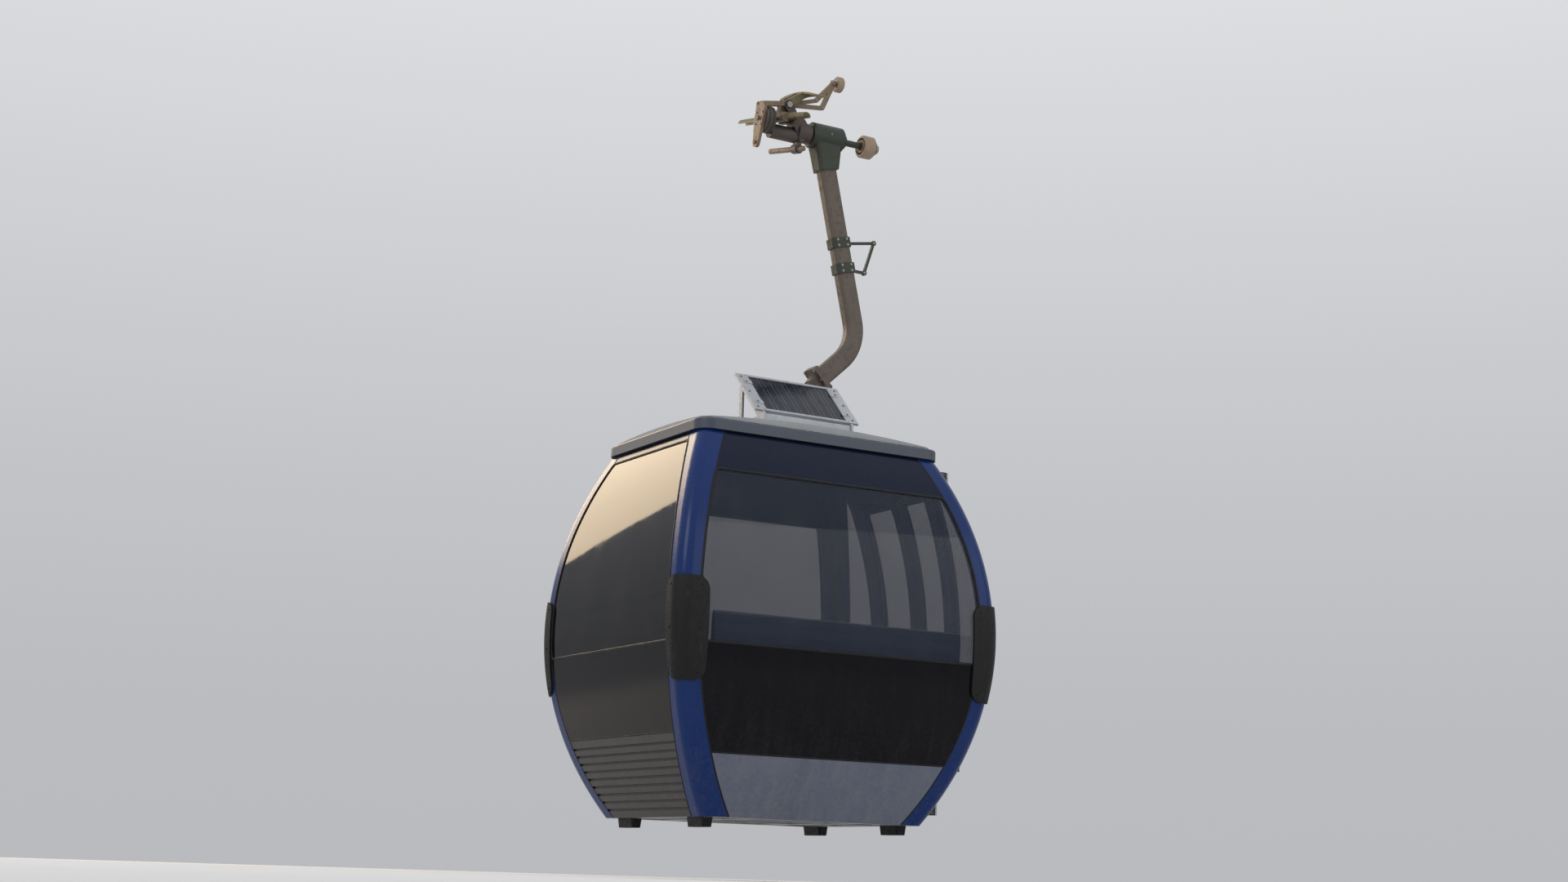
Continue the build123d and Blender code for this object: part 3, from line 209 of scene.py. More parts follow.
def tone(colour: Triple, factor: float = 1.0) -> tuple[float, float, float, float]:
    """Colour times a factor, with an alpha of one."""
    return (*(min(1.0, c * factor) for c in colour), 1.0)


@dataclass(frozen=True)
class Finish:
    """One finish of the cabin, built once and shared by its pieces."""

    slot: str
    colour: Triple
    rough: float = 0.4

    def dress(self, sheet: Sheet) -> None:
        """Fills the sheet; each kind of finish does it its own way.

        Args:
            sheet: the node sheet.
        """
        raise NotImplementedError

    def material(self) -> bpy.types.Material:
        """The finish's material, made on its first use and named apart from the frame's plain one.

        Returns:
            The material.
        """
        name = f"{self.slot}_finish"
        if name not in bpy.data.materials:
            self.dress(Sheet(bpy.data.materials.new(name)))
        return bpy.data.materials[name]


@dataclass(frozen=True)
class Lacquer(Finish):
    """Painted sheet under a clear coat: slight unevenness, road dust low down, fine scratches."""

    coat: float = 0.6
    dust: float = 0.35
    ior: float = 1.5
    dust_colour: Triple = (0.3, 0.27, 0.23)

    def dress(self, sheet: Sheet) -> None:
        """Lays the paint, its uneven tone, dust that thins upwards, and orange peel.

        Args:
            sheet: the node sheet.
        """
        base = sheet.blend(sheet.noise(2.5), tone(self.colour, 0.82), tone(self.colour, 1.15))
        height = sheet.node("SeparateXYZ", sheet.place).outputs[2]
        low = sheet.ramp(height, FOOT_Z - 0.05, FOOT_Z + 0.9, 1.0, 0.15)
        specks = sheet.ramp(sheet.noise(45.0, 6.0), 0.42, 0.72)
        streaks = sheet.ramp(sheet.noise(14.0, 5.0, (1, 1, 0.12)), 0.4, 0.75)
        dirt = sheet.math("MULTIPLY", sheet.math("ADD", specks, streaks), low)
        dirt = sheet.math("MULTIPLY", dirt, self.dust)
        scratched = sheet.ramp(sheet.noise(160.0, 3.0, (0.15, 0.15, 1)), 0.55, 0.8, 0.0, 0.12)
        rough = sheet.math("ADD", sheet.math("ADD", dirt, scratched), self.rough)
        sheet.set(Base_Color=sheet.blend(dirt, base, tone(self.dust_colour)), Roughness=rough)
        sheet.set(Coat_Weight=self.coat, Coat_Roughness=0.06, IOR=self.ior)
        sheet.relief(sheet.noise(380.0, 2.0), 0.0004, 0.25)


@dataclass(frozen=True)
class Glazing(Finish):
    """Dark tinted acrylic: seen through evenly, with faint smears and dried runs on it."""

    clear: float = 0.6
    ior: float = 1.45
    film: float = 0.22
    film_colour: Triple = (0.14, 0.14, 0.145)

    def dress(self, sheet: Sheet) -> None:
        """Tints the sheet, and dulls it in smears and runs.

        Args:
            sheet: the node sheet.
        """
        runs = sheet.ramp(sheet.noise(16.0, 5.0, (1, 1, 0.08)), 0.5, 0.8)
        smears = sheet.ramp(sheet.noise(5.0, 6.0), 0.45, 0.75)
        film = sheet.math("MULTIPLY", sheet.math("ADD", runs, smears), 0.5)
        share = sheet.math("MULTIPLY", film, self.film)
        tint = sheet.blend(share, tone(self.colour), tone(self.film_colour))
        rough = sheet.ramp(film, 0.0, 1.0, self.rough, self.rough + 0.05)
        sheet.set(Base_Color=tint, Roughness=rough)
        sheet.set(Alpha=1 - self.clear, IOR=self.ior)
        sheet.relief(sheet.noise(3.0, 2.0), 0.002, 0.12)


@dataclass(frozen=True)
class Rubber(Finish):
    """Matt rubber: fine grain, dust in patches, paler scuffs."""

    def dress(self, sheet: Sheet) -> None:
        """Lays the rubber's grain, scuffs and dust.

        Args:
            sheet: the node sheet.
        """
        scuffs = sheet.ramp(sheet.noise(30.0, 7.0, (1, 1, 0.4)), 0.52, 0.8, 0.0, 0.4)
        sheet.set(Base_Color=sheet.blend(scuffs, tone(self.colour), tone(self.colour, 6)), IOR=1.35)
        rough = sheet.ramp(sheet.noise(60.0), 0.3, 0.7, self.rough - 0.1, self.rough + 0.1)
        sheet.set(Roughness=rough)
        sheet.relief(sheet.noise(900.0, 2.0), 0.0005, 0.35)


@dataclass(frozen=True)
class Metal(Finish):
    """Bare or thinly coated metal: tone patches, scattered rust or oxide stains, and its grain."""

    shine: float = 0.9
    stain: Triple = (0.12, 0.07, 0.04)
    stained: float = 0.35
    grain: Triple = (1, 1, 1)
    pits: float = 0.25

    def dress(self, sheet: Sheet) -> None:
        """Lays the metal, its stains and its grain.

        Args:
            sheet: the node sheet.
        """
        base = sheet.blend(sheet.noise(9.0, 5.0), tone(self.colour, 0.75), tone(self.colour, 1.2))
        stain = sheet.ramp(sheet.noise(38.0, 8.0), 0.5, 0.72, 0.0, self.stained)
        lines = sheet.noise(240.0, 3.0, self.grain)
        rough = sheet.ramp(lines, 0.3, 0.7, self.rough - 0.08, self.rough + 0.08)
        rough = sheet.math("ADD", rough, stain)
        sheet.set(Base_Color=sheet.blend(stain, base, tone(self.stain)), Roughness=rough)
        sheet.set(Metallic=sheet.ramp(stain, 0.0, 1.0, self.shine, 0.1))
        sheet.relief(sheet.noise(320.0, 3.0, self.grain), 0.0006, self.pits)


@dataclass(frozen=True)
class Moulding(Finish):
    """Moulded plastic: leather-like grain, faint wear."""

    def dress(self, sheet: Sheet) -> None:
        """Lays the plastic, its wear and its grain.

        Args:
            sheet: the node sheet.
        """
        worn = sheet.ramp(sheet.noise(22.0, 6.0), 0.45, 0.8, 0.0, 0.4)
        sheet.set(Base_Color=sheet.blend(worn, tone(self.colour), tone(self.colour, 1.5)))
        rough = sheet.ramp(sheet.noise(70.0), 0.3, 0.7, self.rough - 0.07, self.rough + 0.09)
        sheet.set(Roughness=rough)
        edges = {"feature": "DISTANCE_TO_EDGE"}
        cells = sheet.node("TexVoronoi", settings=edges, Vector=sheet.place, Scale=520.0)
        sheet.relief(cells.outputs[0], 0.0004, 0.3)


@dataclass(frozen=True)
class Cloth(Finish):
    """Woven seat cloth: crossing threads, flecks and a soft sheen."""

    thread: float = 0.0024
    fleck: Triple = (0.12, 0.13, 0.17)

    def dress(self, sheet: Sheet) -> None:
        """Lays the weave from crossing waves, flecks, and sheen.

        Args:
            sheet: the node sheet.
        """
        waves = []
        scale = math.pi / (10 * self.thread)
        for axis in ("X", "Y", "Z"):
            bands = {"wave_type": "BANDS", "bands_direction": axis}
            wave = sheet.node("TexWave", sheet.place, settings=bands, Scale=scale, Distortion=0.6)
            waves.append(wave.outputs[1])
        weave = sheet.math("MULTIPLY", sheet.math("ADD", waves[0], waves[2]), waves[1])
        flecks = sheet.ramp(sheet.noise(1500.0, 2.0), 0.55, 0.75, 0.0, 0.3)
        base = sheet.blend(weave, tone(self.colour, 0.7), tone(self.colour, 1.3))
        sheet.set(Base_Color=sheet.blend(flecks, base, tone(self.fleck)), Roughness=self.rough)
        sheet.set(Sheen_Weight=0.35, Sheen_Roughness=0.5)
        sheet.relief(weave, 0.0006, 0.5)


@dataclass(frozen=True)
class SolarGlass(Finish):
    """Dark cells under clear glass, with thin pale conductors and the gaps between cells."""

    pitch: float = 0.078
    tilt: float = PANEL_TILT
    gap: float = 0.035
    wire: float = 0.03
    edge: float = 0.012

    def dress(self, sheet: Sheet) -> None:
        """Draws a grid of cells in the panel's own plane, with fine conductor lines.

        Args:
            sheet: the node sheet.
        """
        level = sheet.node("Mapping", Vector=sheet.place, Rotation=(0, -self.tilt, 0)).outputs[0]
        parts = sheet.node("SeparateXYZ", level)
        lines = []
        for output, pitch, width in ((0, 1, self.gap), (1, 1, self.gap), (1, 1 / 3, self.wire)):
            along = sheet.math("DIVIDE", parts.outputs[output], self.pitch * pitch)
            share = sheet.math("FRACT", along)
            away = sheet.math("ABSOLUTE", sheet.math("SUBTRACT", share, 0.5))
            lines.append(sheet.ramp(away, width, width + self.edge, 1.0, 0.0))
        cell = sheet.blend(sheet.noise(30.0, 3.0), tone(self.colour, 0.7), tone(self.colour, 1.6))
        wired = sheet.blend(sheet.math("MULTIPLY", lines[2], 0.55), cell, (0.3, 0.32, 0.36, 1))
        gaps = sheet.math("MAXIMUM", lines[0], lines[1])
        sheet.set(Base_Color=sheet.blend(gaps, wired, (0.01, 0.01, 0.012, 1)))
        rough = sheet.ramp(sheet.noise(12.0, 5.0), 0.4, 0.8, self.rough, self.rough + 0.2)
        sheet.set(Roughness=rough)
        sheet.set(Coat_Weight=0.1, Coat_Roughness=0.03, IOR=1.25)


PALE_STAIN = (0.28, 0.28, 0.29)


@dataclass(frozen=True)
class Finishes:
    """All finishes by the record's slot."""

    post_paint: Finish = Lacquer(
        "post_paint", (0.003, 0.025, 0.13), 0.25, coat=0.05, dust=0.04, ior=1.28
    )
    header_paint: Finish = Lacquer(
        "header_paint", (0.005, 0.01, 0.03), 0.22, coat=0.0, dust=0.03, ior=1.24
    )
    dark_panel: Finish = Lacquer(
        "dark_panel", (0.004, 0.0038, 0.0065), 0.12, coat=0.0, dust=0.03, ior=1.24
    )
    skirt_paint: Finish = Lacquer("skirt_paint", (0.105, 0.125, 0.18), 0.4, coat=0.1, dust=0.22)
    ribbed_metal: Finish = Lacquer(
        "ribbed_metal", (0.03, 0.03, 0.034), 0.36, coat=0.05, dust=0.15, ior=1.35
    )
    tinted_glass: Finish = Glazing(
        "tinted_glass", (0.014, 0.023, 0.045), 0.03, clear=0.56, ior=1.4
    )
    smoked_glass: Finish = Glazing(
        "smoked_glass", (0.005, 0.005, 0.007), 0.03, clear=0.1, ior=1.28, film=0.1
    )
    bumper_rubber: Finish = Rubber("bumper_rubber", (0.006, 0.006, 0.007), 0.55)
    roof_metal: Finish = Lacquer("roof_metal", (0.045, 0.056, 0.085), 0.42, coat=0.1, dust=0.12)
    roof_skin: Finish = Lacquer("roof_skin", (0.33, 0.35, 0.37), 0.5, coat=0.1, dust=0.5)
    frame_metal: Finish = Metal(
        "frame_metal", (0.42, 0.44, 0.47), 0.4, shine=0.35, stain=PALE_STAIN, stained=0.2
    )
    floor_sheet: Finish = Rubber("floor_sheet", (0.09, 0.09, 0.1), 0.7)
    bench_shell: Finish = Moulding("bench_shell", (0.16, 0.165, 0.18), 0.5)
    seat_cloth: Finish = Cloth("seat_cloth", (0.08, 0.1, 0.16), 0.85)
    hanger_steel: Finish = Metal(
        "hanger_steel", (0.115, 0.092, 0.076), 0.5, shine=0.25, grain=(1, 1, 0.08)
    )
    head_steel: Finish = Metal("head_steel", (0.03, 0.04, 0.028), 0.48, shine=0.2)
    grip_steel: Finish = Metal(
        "grip_steel", (0.21, 0.155, 0.108), 0.5, shine=0.4, stained=0.3, pits=0.5
    )
    dark_steel: Finish = Metal("dark_steel", (0.085, 0.066, 0.06), 0.5, shine=0.35, pits=0.5)
    plate_steel: Finish = Metal("plate_steel", (0.19, 0.165, 0.085), 0.5, shine=0.3)
    bright_steel: Finish = Metal(
        "bright_steel", (0.27, 0.26, 0.24), 0.34, shine=0.85, stained=0.2
    )
    roller_tyre: Finish = Moulding("roller_tyre", (0.3, 0.22, 0.155), 0.55)
    solar_glass: Finish = SolarGlass("solar_glass", (0.006, 0.009, 0.022), 0.12)
    rack_plastic: Finish = Moulding("rack_plastic", (0.02, 0.02, 0.022), 0.5)


FINISHES = Finishes()
OWN_FINISHES = {
    "side_window": "smoked_glass",
    "solar_frame": "frame_metal",
    "solar_brackets": "frame_metal",
    "hanger_axle": "head_steel",
    "grip_body": "dark_steel",
    "spring_cup": "dark_steel",
}


# Mesh work on whole arrays


@dataclass
class Shell:
    """Points and faces of one closed surface or more, before they become a mesh."""

    points: np.ndarray
    faces: list[list[int]]


def joined(shells: list[Shell]) -> Shell:
    """Several shells as one: each one's faces are counted on from the points before them.

    Args:
        shells: the shells.

    Returns:
        The shell of all.
    """
    starts = np.cumsum([0] + [len(shell.points) for shell in shells]).tolist()
    pairs = zip(shells, starts)
    faces = [[index + start for index in face] for shell, start in pairs for face in shell.faces]
    return Shell(np.vstack([shell.points for shell in shells]), faces)


def unit(vectors: np.ndarray) -> np.ndarray:
    """Vectors divided by their own length."""
    return vectors / np.linalg.norm(vectors, axis=-1, keepdims=True)


def square_to(axes: np.ndarray) -> tuple[np.ndarray, np.ndarray]:
    """Square to each axis: side = axis x the world axis most across it, up = axis x side."""
    sides = unit(np.cross(axes, np.eye(3)[np.argmin(np.abs(axes), axis=-1)]))
    return sides, np.cross(axes, sides)


def corners(across: float, high: float) -> np.ndarray:
    """The four places (across, high) with either sign of both."""
    return np.array([(a * across, b * high) for a in (1, -1) for b in (1, -1)])


def net(rows: int, columns: int, closed: bool = False) -> list[list[int]]:
    """Faces of a grid of closed rings: each joins (i, j), (i, j+1), (i+1, j+1), (i+1, j).

    Args:
        rows: rings of points.
        columns: points of a ring.
        closed: whether the last ring joins the first; if not, both get a cap.

    Returns:
        The faces.
    """
    near = np.arange(rows if closed else rows - 1)[:, None] * columns
    far = (near + columns) % (rows * columns)
    column = np.arange(columns)
    step = (column + 1) % columns
    edges = [near + column, near + step, far + step, far + column]
    faces = np.stack(edges, axis=-1).reshape(-1, 4).tolist()
    if not closed:
        faces += [list(range(columns))[::-1], list(range((rows - 1) * columns, rows * columns))]
    return faces


def carried(
    profile: np.ndarray, path: np.ndarray, sides: np.ndarray, ups: np.ndarray, closed: bool = False
) -> Shell:
    """A profile carried along a path: point (i, j) = path i + across j x side i + high j x up i.

    Args:
        profile: (k, 2) or (n, k, 2) ring, counter-clockwise when seen against the path.
        path: (n, 3) places.
        sides: (n, 3) or (3,) directions of the profile's first size.
        ups: (n, 3) or (3,) directions of the profile's second size.
        closed: whether the path closes on itself.

    Returns:
        The shell, with its open ends capped.
    """
    ring = np.broadcast_to(profile, (len(path), *profile.shape[-2:]))
    across = np.broadcast_to(sides, path.shape)[:, None]
    high = np.broadcast_to(ups, path.shape)[:, None]
    points = path[:, None] + ring[..., :1] * across + ring[..., 1:] * high
    return Shell(points.reshape(-1, 3), net(*points.shape[:2], closed))


def circle(radius: float, count: int) -> np.ndarray:
    """Ring of a circle: (radius cos t, radius sin t)."""
    turn = np.linspace(0, 2 * np.pi, count, endpoint=False)
    return radius * np.stack([np.cos(turn), np.sin(turn)], axis=-1)


def bar(width: float, tall: float, corner: float, count: int = 4) -> np.ndarray:
    """Ring of a rounded rectangle: corner centre + corner radius x (cos t, sin t) in turn.

    Args:
        width: full width.
        tall: full height.
        corner: corner radius.
        count: steps in a corner.

    Returns:
        The (4 x (count + 1), 2) ring.
    """
    turn = np.linspace(0, np.pi / 2, count + 1)[None, :] + np.arange(4)[:, None] * np.pi / 2
    signs = np.array([(1, 1), (-1, 1), (-1, -1), (1, -1)])[:, None]
    centre = signs * np.array([width / 2 - corner, tall / 2 - corner])
    return (centre + corner * np.stack([np.cos(turn), np.sin(turn)], axis=-1)).reshape(-1, 2)


def bead(width: float, tall: float) -> np.ndarray:
    """Ring of a half-round bead on its flat: (width/2 cos t, tall sin t) for t from 0 to pi."""
    turn = np.linspace(0, np.pi, BEAD_POINTS)
    return np.stack([width / 2 * np.cos(turn), tall * np.sin(turn)], axis=-1)


def tangents(path: np.ndarray, closed: bool = False) -> np.ndarray:
    """Directions along a path: the difference of each point's two neighbours.

    Args:
        path: (n, 3) places.
        closed: whether the path closes on itself.

    Returns:
        (n, 3) unit directions.
    """
    if closed:
        return unit(np.roll(path, -1, axis=0) - np.roll(path, 1, axis=0))
    return unit(np.gradient(path, axis=0))


def tube(path: np.ndarray, radius: float, closed: bool = True) -> Shell:
    """Round tube along a path: side = direction x reference, up = side x direction.

    Args:
        path: (n, 3) places.
        radius: tube radius.
        closed: whether it closes on itself.

    Returns:
        The shell.
    """
    along = tangents(path, closed)
    reference = np.eye(3)[np.argmin(np.abs(along).max(axis=0))]
    sides = unit(np.cross(along, reference))
    return carried(circle(radius, TUBE_SIDES), path, np.cross(sides, along), sides, closed)


def wire(
    place: np.ndarray, side: np.ndarray, up: np.ndarray, size: Pair, corner: float, radius: float
) -> Shell:
    """Round tube along a rounded rectangle: middle line = place + across x side + high x up."""
    ring = bar(*size, corner, 6)
    return tube(place + ring[:, :1] * side + ring[:, 1:] * up, radius)


def stamped(rings: np.ndarray, heights: np.ndarray, places: np.ndarray, axes: np.ndarray) -> Shell:
    """Copies of a stack of rings: place + height x axis + radius x (cos t side + sin t up).

    Args:
        rings: (rows, columns) radii.
        heights: (rows,) places of the rings along the axis.
        places: (n, 3) points where the stacks stand.
        axes: (n, 3) or (3,) directions out of the surface.

    Returns:
        The shell of all copies, with capped ends.
    """
    places = np.atleast_2d(places)
    axes = unit(np.broadcast_to(axes, places.shape))
    rows, columns = rings.shape
    spokes = np.einsum("ck,knx->ncx", circle(1.0, columns), np.stack(square_to(axes)))
    points = places[:, None, None] + rings[None, :, :, None] * spokes[:, None]
    points = points + heights[None, :, None, None] * axes[:, None, None]
    one = net(rows, columns)
    jumps = (np.arange(len(places)) * rows * columns).tolist()
    faces = [[index + jump for index in face] for jump in jumps for face in one]
    return Shell(points.reshape(-1, 3), faces)


def bolts(places: np.ndarray, axes: np.ndarray, size: float, washer: bool = True) -> Shell:
    """Hexagon bolt heads on washers: radius = size x cos 30 / cos of the angle to a flat's middle.

    Args:
        places: (n, 3) points where the washers lie.
        axes: (n, 3) or (3,) directions out of the surface.
        size: distance from the head's middle to a corner.
        washer: whether there is a washer below the head.

    Returns:
        The shell of all heads.
    """
    turn = np.linspace(0, 2 * np.pi, 24, endpoint=False)
    hexagon = math.cos(math.pi / 6) / np.cos(turn % (math.pi / 3) - math.pi / 6)
    plain = np.ones_like(turn)
    disc = [(0.0, 1.45, plain), (0.16, 1.45, plain), (0.2, 1.35, plain), (0.2, 1.0, hexagon)]
    head = [(0.75, 1.0, hexagon), (0.86, 0.88, plain), (0.86, 0.3, plain)]
    steps = (disc if washer else [(0.0, 1.0, hexagon)]) + head
    rings = np.stack([size * wide * form for _, wide, form in steps])
    return stamped(rings, np.array([size * height for height, _, _ in steps]), places, axes)


def studs(profile: Profile, places: np.ndarray, axes: np.ndarray, count: int = 14) -> Shell:
    """Round studs, such as rivets: each (along, radius) of the profile is a ring round the axis."""
    sizes = np.array(profile, float)
    return stamped(np.repeat(sizes[:, 1:], count, axis=1), sizes[:, 0], places, axes)


def hoop(
    profile: np.ndarray, radius: float, centre: np.ndarray, axis: np.ndarray, count: int = 32
) -> Shell:
    """A profile carried round a circle: centre + (radius + across) x spoke + high x axis."""
    spokes = (circle(1.0, count) * (1, -1)) @ np.stack(square_to(axis))
    return carried(profile, centre + radius * spokes, spokes, axis, True)


def button(radius: float) -> Profile:
    """Profile of a domed rivet: height = radius / 2 x sin t, reach = radius x cos t."""
    turn = np.linspace(0, np.pi / 2 - 0.15, 5)
    return np.stack([radius / 2 * np.sin(turn), radius * np.cos(turn)], axis=-1).tolist()


NIPPLE = [
    (-0.002, 0.006), (0.004, 0.006), (0.005, 0.0035),
    (0.011, 0.0035), (0.013, 0.0045), (0.016, 0.0025),
]


def slab(size: Triple, corner: float, place: np.ndarray, side: np.ndarray, up: np.ndarray) -> Shell:
    """A plate or box with rounded corners and softened rims, standing on its place along side x up.

    Args:
        size: width along side, height along up, and thickness.
        corner: corner radius.
        place: middle of the face that it stands on.
        side: direction of the width.
        up: direction of the height.

    Returns:
        The shell: rings of a rounded rectangle, drawn in at both rims.
    """
    wide, tall, thick = size
    soft = min(thick, corner) * RIM_SHARE
    along, insets = np.array([(0.0, soft), (soft, 0.0), (thick - soft, 0.0), (thick, soft)]).T
    rings = np.stack([bar(wide - 2 * inset, tall - 2 * inset, corner - inset) for inset in insets])
    return carried(rings, place + np.outer(along, np.cross(side, up)), side, up)


def merged(*shares: object) -> np.ndarray:
    """Points from their shares on each axis, each share a number or an array."""
    return np.stack(np.broadcast_arrays(*shares), axis=-1)


def on_grip(along: object, out: object, up: object) -> np.ndarray:
    """Points in the grip's pitched axes: along the rope, outwards, and square to it upwards."""
    return merged(along, out, up) @ np.stack([GRIP_ALONG, OUTWARD, GRIP_UP])


def on_body(across: object, out: object, height: object) -> np.ndarray:
    """Points of the body: along it and outwards from its middle, and above its lower edge."""
    return merged(across, out, height) + (PIVOT_X, 0.0, FOOT_Z)


def linked(name: str, data: bpy.types.ID) -> bpy.types.Object:
    """Makes an object and puts it into the scene.

    Args:
        name: the object's name.
        data: its mesh, lamp or camera.

    Returns:
        The object.
    """
    made = bpy.data.objects.new(name, data)
    bpy.context.scene.collection.objects.link(made)
    return made


def piece(
    name: str,
    shell: Shell,
    finish: Finish,
    body: Body = Body.CABIN,
    crease: float = HARD_CREASE,
) -> bpy.types.Object:
    """Makes a mesh piece with its place in its mesh, dressed and riding on its body.

    Args:
        name: the piece's name.
        shell: its points and faces.
        finish: its finish.
        body: the body it rides on.
        crease: angle in degrees past which an edge stays sharp.

    Returns:
        The object.
    """
    mesh = bpy.data.meshes.new(name)
    mesh.from_pydata(shell.points.tolist(), [], shell.faces)
    mesh.validate()
    mesh.shade_smooth()
    mesh.set_sharp_from_angle(angle=math.radians(crease))
    mesh.materials.append(finish.material())
    made = linked(name, mesh)
    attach(made, body.value)
    log.info("%s: %d faces, rides on %s", name, len(shell.faces), body.value)
    return made


def steel(name: str, shells: list[Shell], body: Body = Body.CABIN) -> None:
    """Makes one piece of bright steel from its shells, such as a set of screws."""
    piece(name, joined(shells), FINISHES.bright_steel, body)


def rubber(name: str, shells: list[Shell], body: Body = Body.CABIN) -> None:
    """Makes one piece of black rubber from its shells, such as seals and strips."""
    piece(name, joined(shells), FINISHES.bumper_rubber, body)


# The barrel-shaped body


@dataclass(frozen=True)
class Arc:
    """Outline of a wall pair: upright at the belly, drawn in by an arc above and one below it."""

    half_belly: float
    half_top: float
    half_foot: float
    belly: float = 1.06
    top: float = 2.1

    def radius(self, height: np.ndarray) -> np.ndarray:
        """Radius of the arc at a height: (span squared + draw squared) / (2 x draw).

        Args:
            height: heights over the body's lower edge.

        Returns:
            The radius at each.
        """
        span = np.where(height > self.belly, self.top - self.belly, self.belly)
        draw = self.half_belly - np.where(height > self.belly, self.half_top, self.half_foot)
        return (span**2 + draw**2) / (2 * draw)

    def half(self, height: np.ndarray, out: float = 0.0) -> np.ndarray:
        """Half size at a height, on the surface moved out by a distance."""
        radius = self.radius(height)
        return self.half_belly - radius + np.sqrt((radius + out) ** 2 - (height - self.belly) ** 2)

    def normal(self, height: np.ndarray) -> tuple[np.ndarray, np.ndarray]:
        """Outward and upward share of the surface's normal at a height."""
        upward = (height - self.belly) / self.radius(height)
        return np.sqrt(1 - upward**2), upward


LENGTH = Arc(half_belly=0.86, half_top=0.577, half_foot=0.612)
WIDTH = Arc(half_belly=1.025, half_top=0.775, half_foot=0.7)


class Wall(Enum):
    """Walls of the body, each with the arc of its own place, the arc of its width, and its side."""

    LOWER_END = (LENGTH, WIDTH, 1)
    UPPER_END = (LENGTH, WIDTH, -1)
    DOOR_SIDE = (WIDTH, LENGTH, 1)
    INNER_SIDE = (WIDTH, LENGTH, -1)

    @property
    def is_end(self) -> bool:
        """Whether the wall is one of the two ends."""
        return self.value[0] is LENGTH

    def clear(self, height: np.ndarray) -> np.ndarray:
        """Half width between the posts at a height."""
        return self.value[1].half(height, -POST)

    def at(self, across: np.ndarray, height: np.ndarray, out: float = 0.0) -> np.ndarray:
        """Points on the wall's surface moved out: its own place comes from its arc."""
        face = self.value[2] * self.value[0].half(height, out)
        return on_body(face, across, height) if self.is_end else on_body(across, face, height)

    def normals(self, height: np.ndarray) -> np.ndarray:
        """Unit normals of the wall: outward share x its own direction + upward share x up.

        Args:
            height: heights over the body's lower edge.

        Returns:
            (n, 3) normals.
        """
        outward, upward = self.value[0].normal(height)
        ahead = self.value[2] * (ACROSS if self.is_end else OUTWARD)
        return np.outer(outward, ahead) + np.outer(upward, UPWARD)

    def ribbon(
        self, across: np.ndarray, height: np.ndarray, size: Pair, out: float, closed: bool = False
    ) -> Shell:
        """A half-round bead along a path on the wall: side = normal x the path's direction.

        Args:
            across: places of the path along the wall.
            height: heights of the path.
            size: width and height of the bead.
            out: distance of the bead's flat outside the surface.
            closed: whether the path closes on itself.

        Returns:
            The shell.
        """
        path = self.at(across, height, out)
        ups = self.normals(height)
        return carried(bead(*size), path, unit(np.cross(ups, tangents(path, closed))), ups, closed)


CLOSED_WALLS = (Wall.LOWER_END, Wall.UPPER_END, Wall.INNER_SIDE)


@dataclass
class Glasswork:
    """Rubber seals round the panes: fixed panes of the cabin, and the panes of the two leaves."""

    sill: float = 0.9
    end_top: float = 1.86
    side_top: float = 2.045
    door_side_top: float = 2.09
    size: Pair = (0.016, 0.005)
    sunk: float = 0.0012
    corner: float = 0.03
    steps: int = 24
    portal_half: float = 0.418
    leaf_middle: float = 0.2105
    leaf_pane_half: float = 0.1455
    leaf_heights: Pair = (0.905, 1.923)
    leaf_out: float = 0.046

    def outline(self, low: float, high: float) -> tuple[np.ndarray, np.ndarray]:
        """Closed path round a pane: straight runs in even steps, with rounded corners between them.

        Args:
            low: lower height.
            high: upper height.

        Returns:
            Shares from -1 to 1 of the pane's half width, and heights.
        """
        ring = bar(2.0, high - low, self.corner, 5)
        runs = np.roll(ring, -1, axis=0) - ring
        share = np.linspace(0, 1, self.steps, endpoint=False)
        long = np.linalg.norm(runs, axis=1) > 2.5 * self.corner
        path = (ring[:, None] + runs[:, None] * share[:, None])[long[:, None] | (share == 0)]
        return path[:, 0], (low + high) / 2 + path[:, 1]

    def build(self) -> None:
        """Seals the panes from post to post, those beside the doors, and those of the leaves."""
        for wall in CLOSED_WALLS:
            top = self.end_top if wall.is_end else self.side_top
            share, height = self.outline(self.sill, top)
            line = wall.ribbon(share * wall.clear(height), height, self.size, -self.sunk, True)
            rubber(f"{wall.name.lower()}_seal", [line])
        wall = Wall.DOOR_SIDE
        for side, body, sign in LEAVES:
            share, height = self.outline(self.sill, self.door_side_top)
            outer = wall.clear(height)
            across = (self.portal_half + outer) / 2 + share * (outer - self.portal_half) / 2
            line = wall.ribbon(sign * across, height, self.size, -self.sunk, True)
            rubber(f"door_side_seal_{side}", [line])
            share, height = self.outline(*self.leaf_heights)
            across = self.leaf_middle + share * self.leaf_pane_half
            line = wall.ribbon(sign * across, height, self.size, self.leaf_out - self.sunk, True)
            rubber(f"leaf_seal_{side}", [line], body)


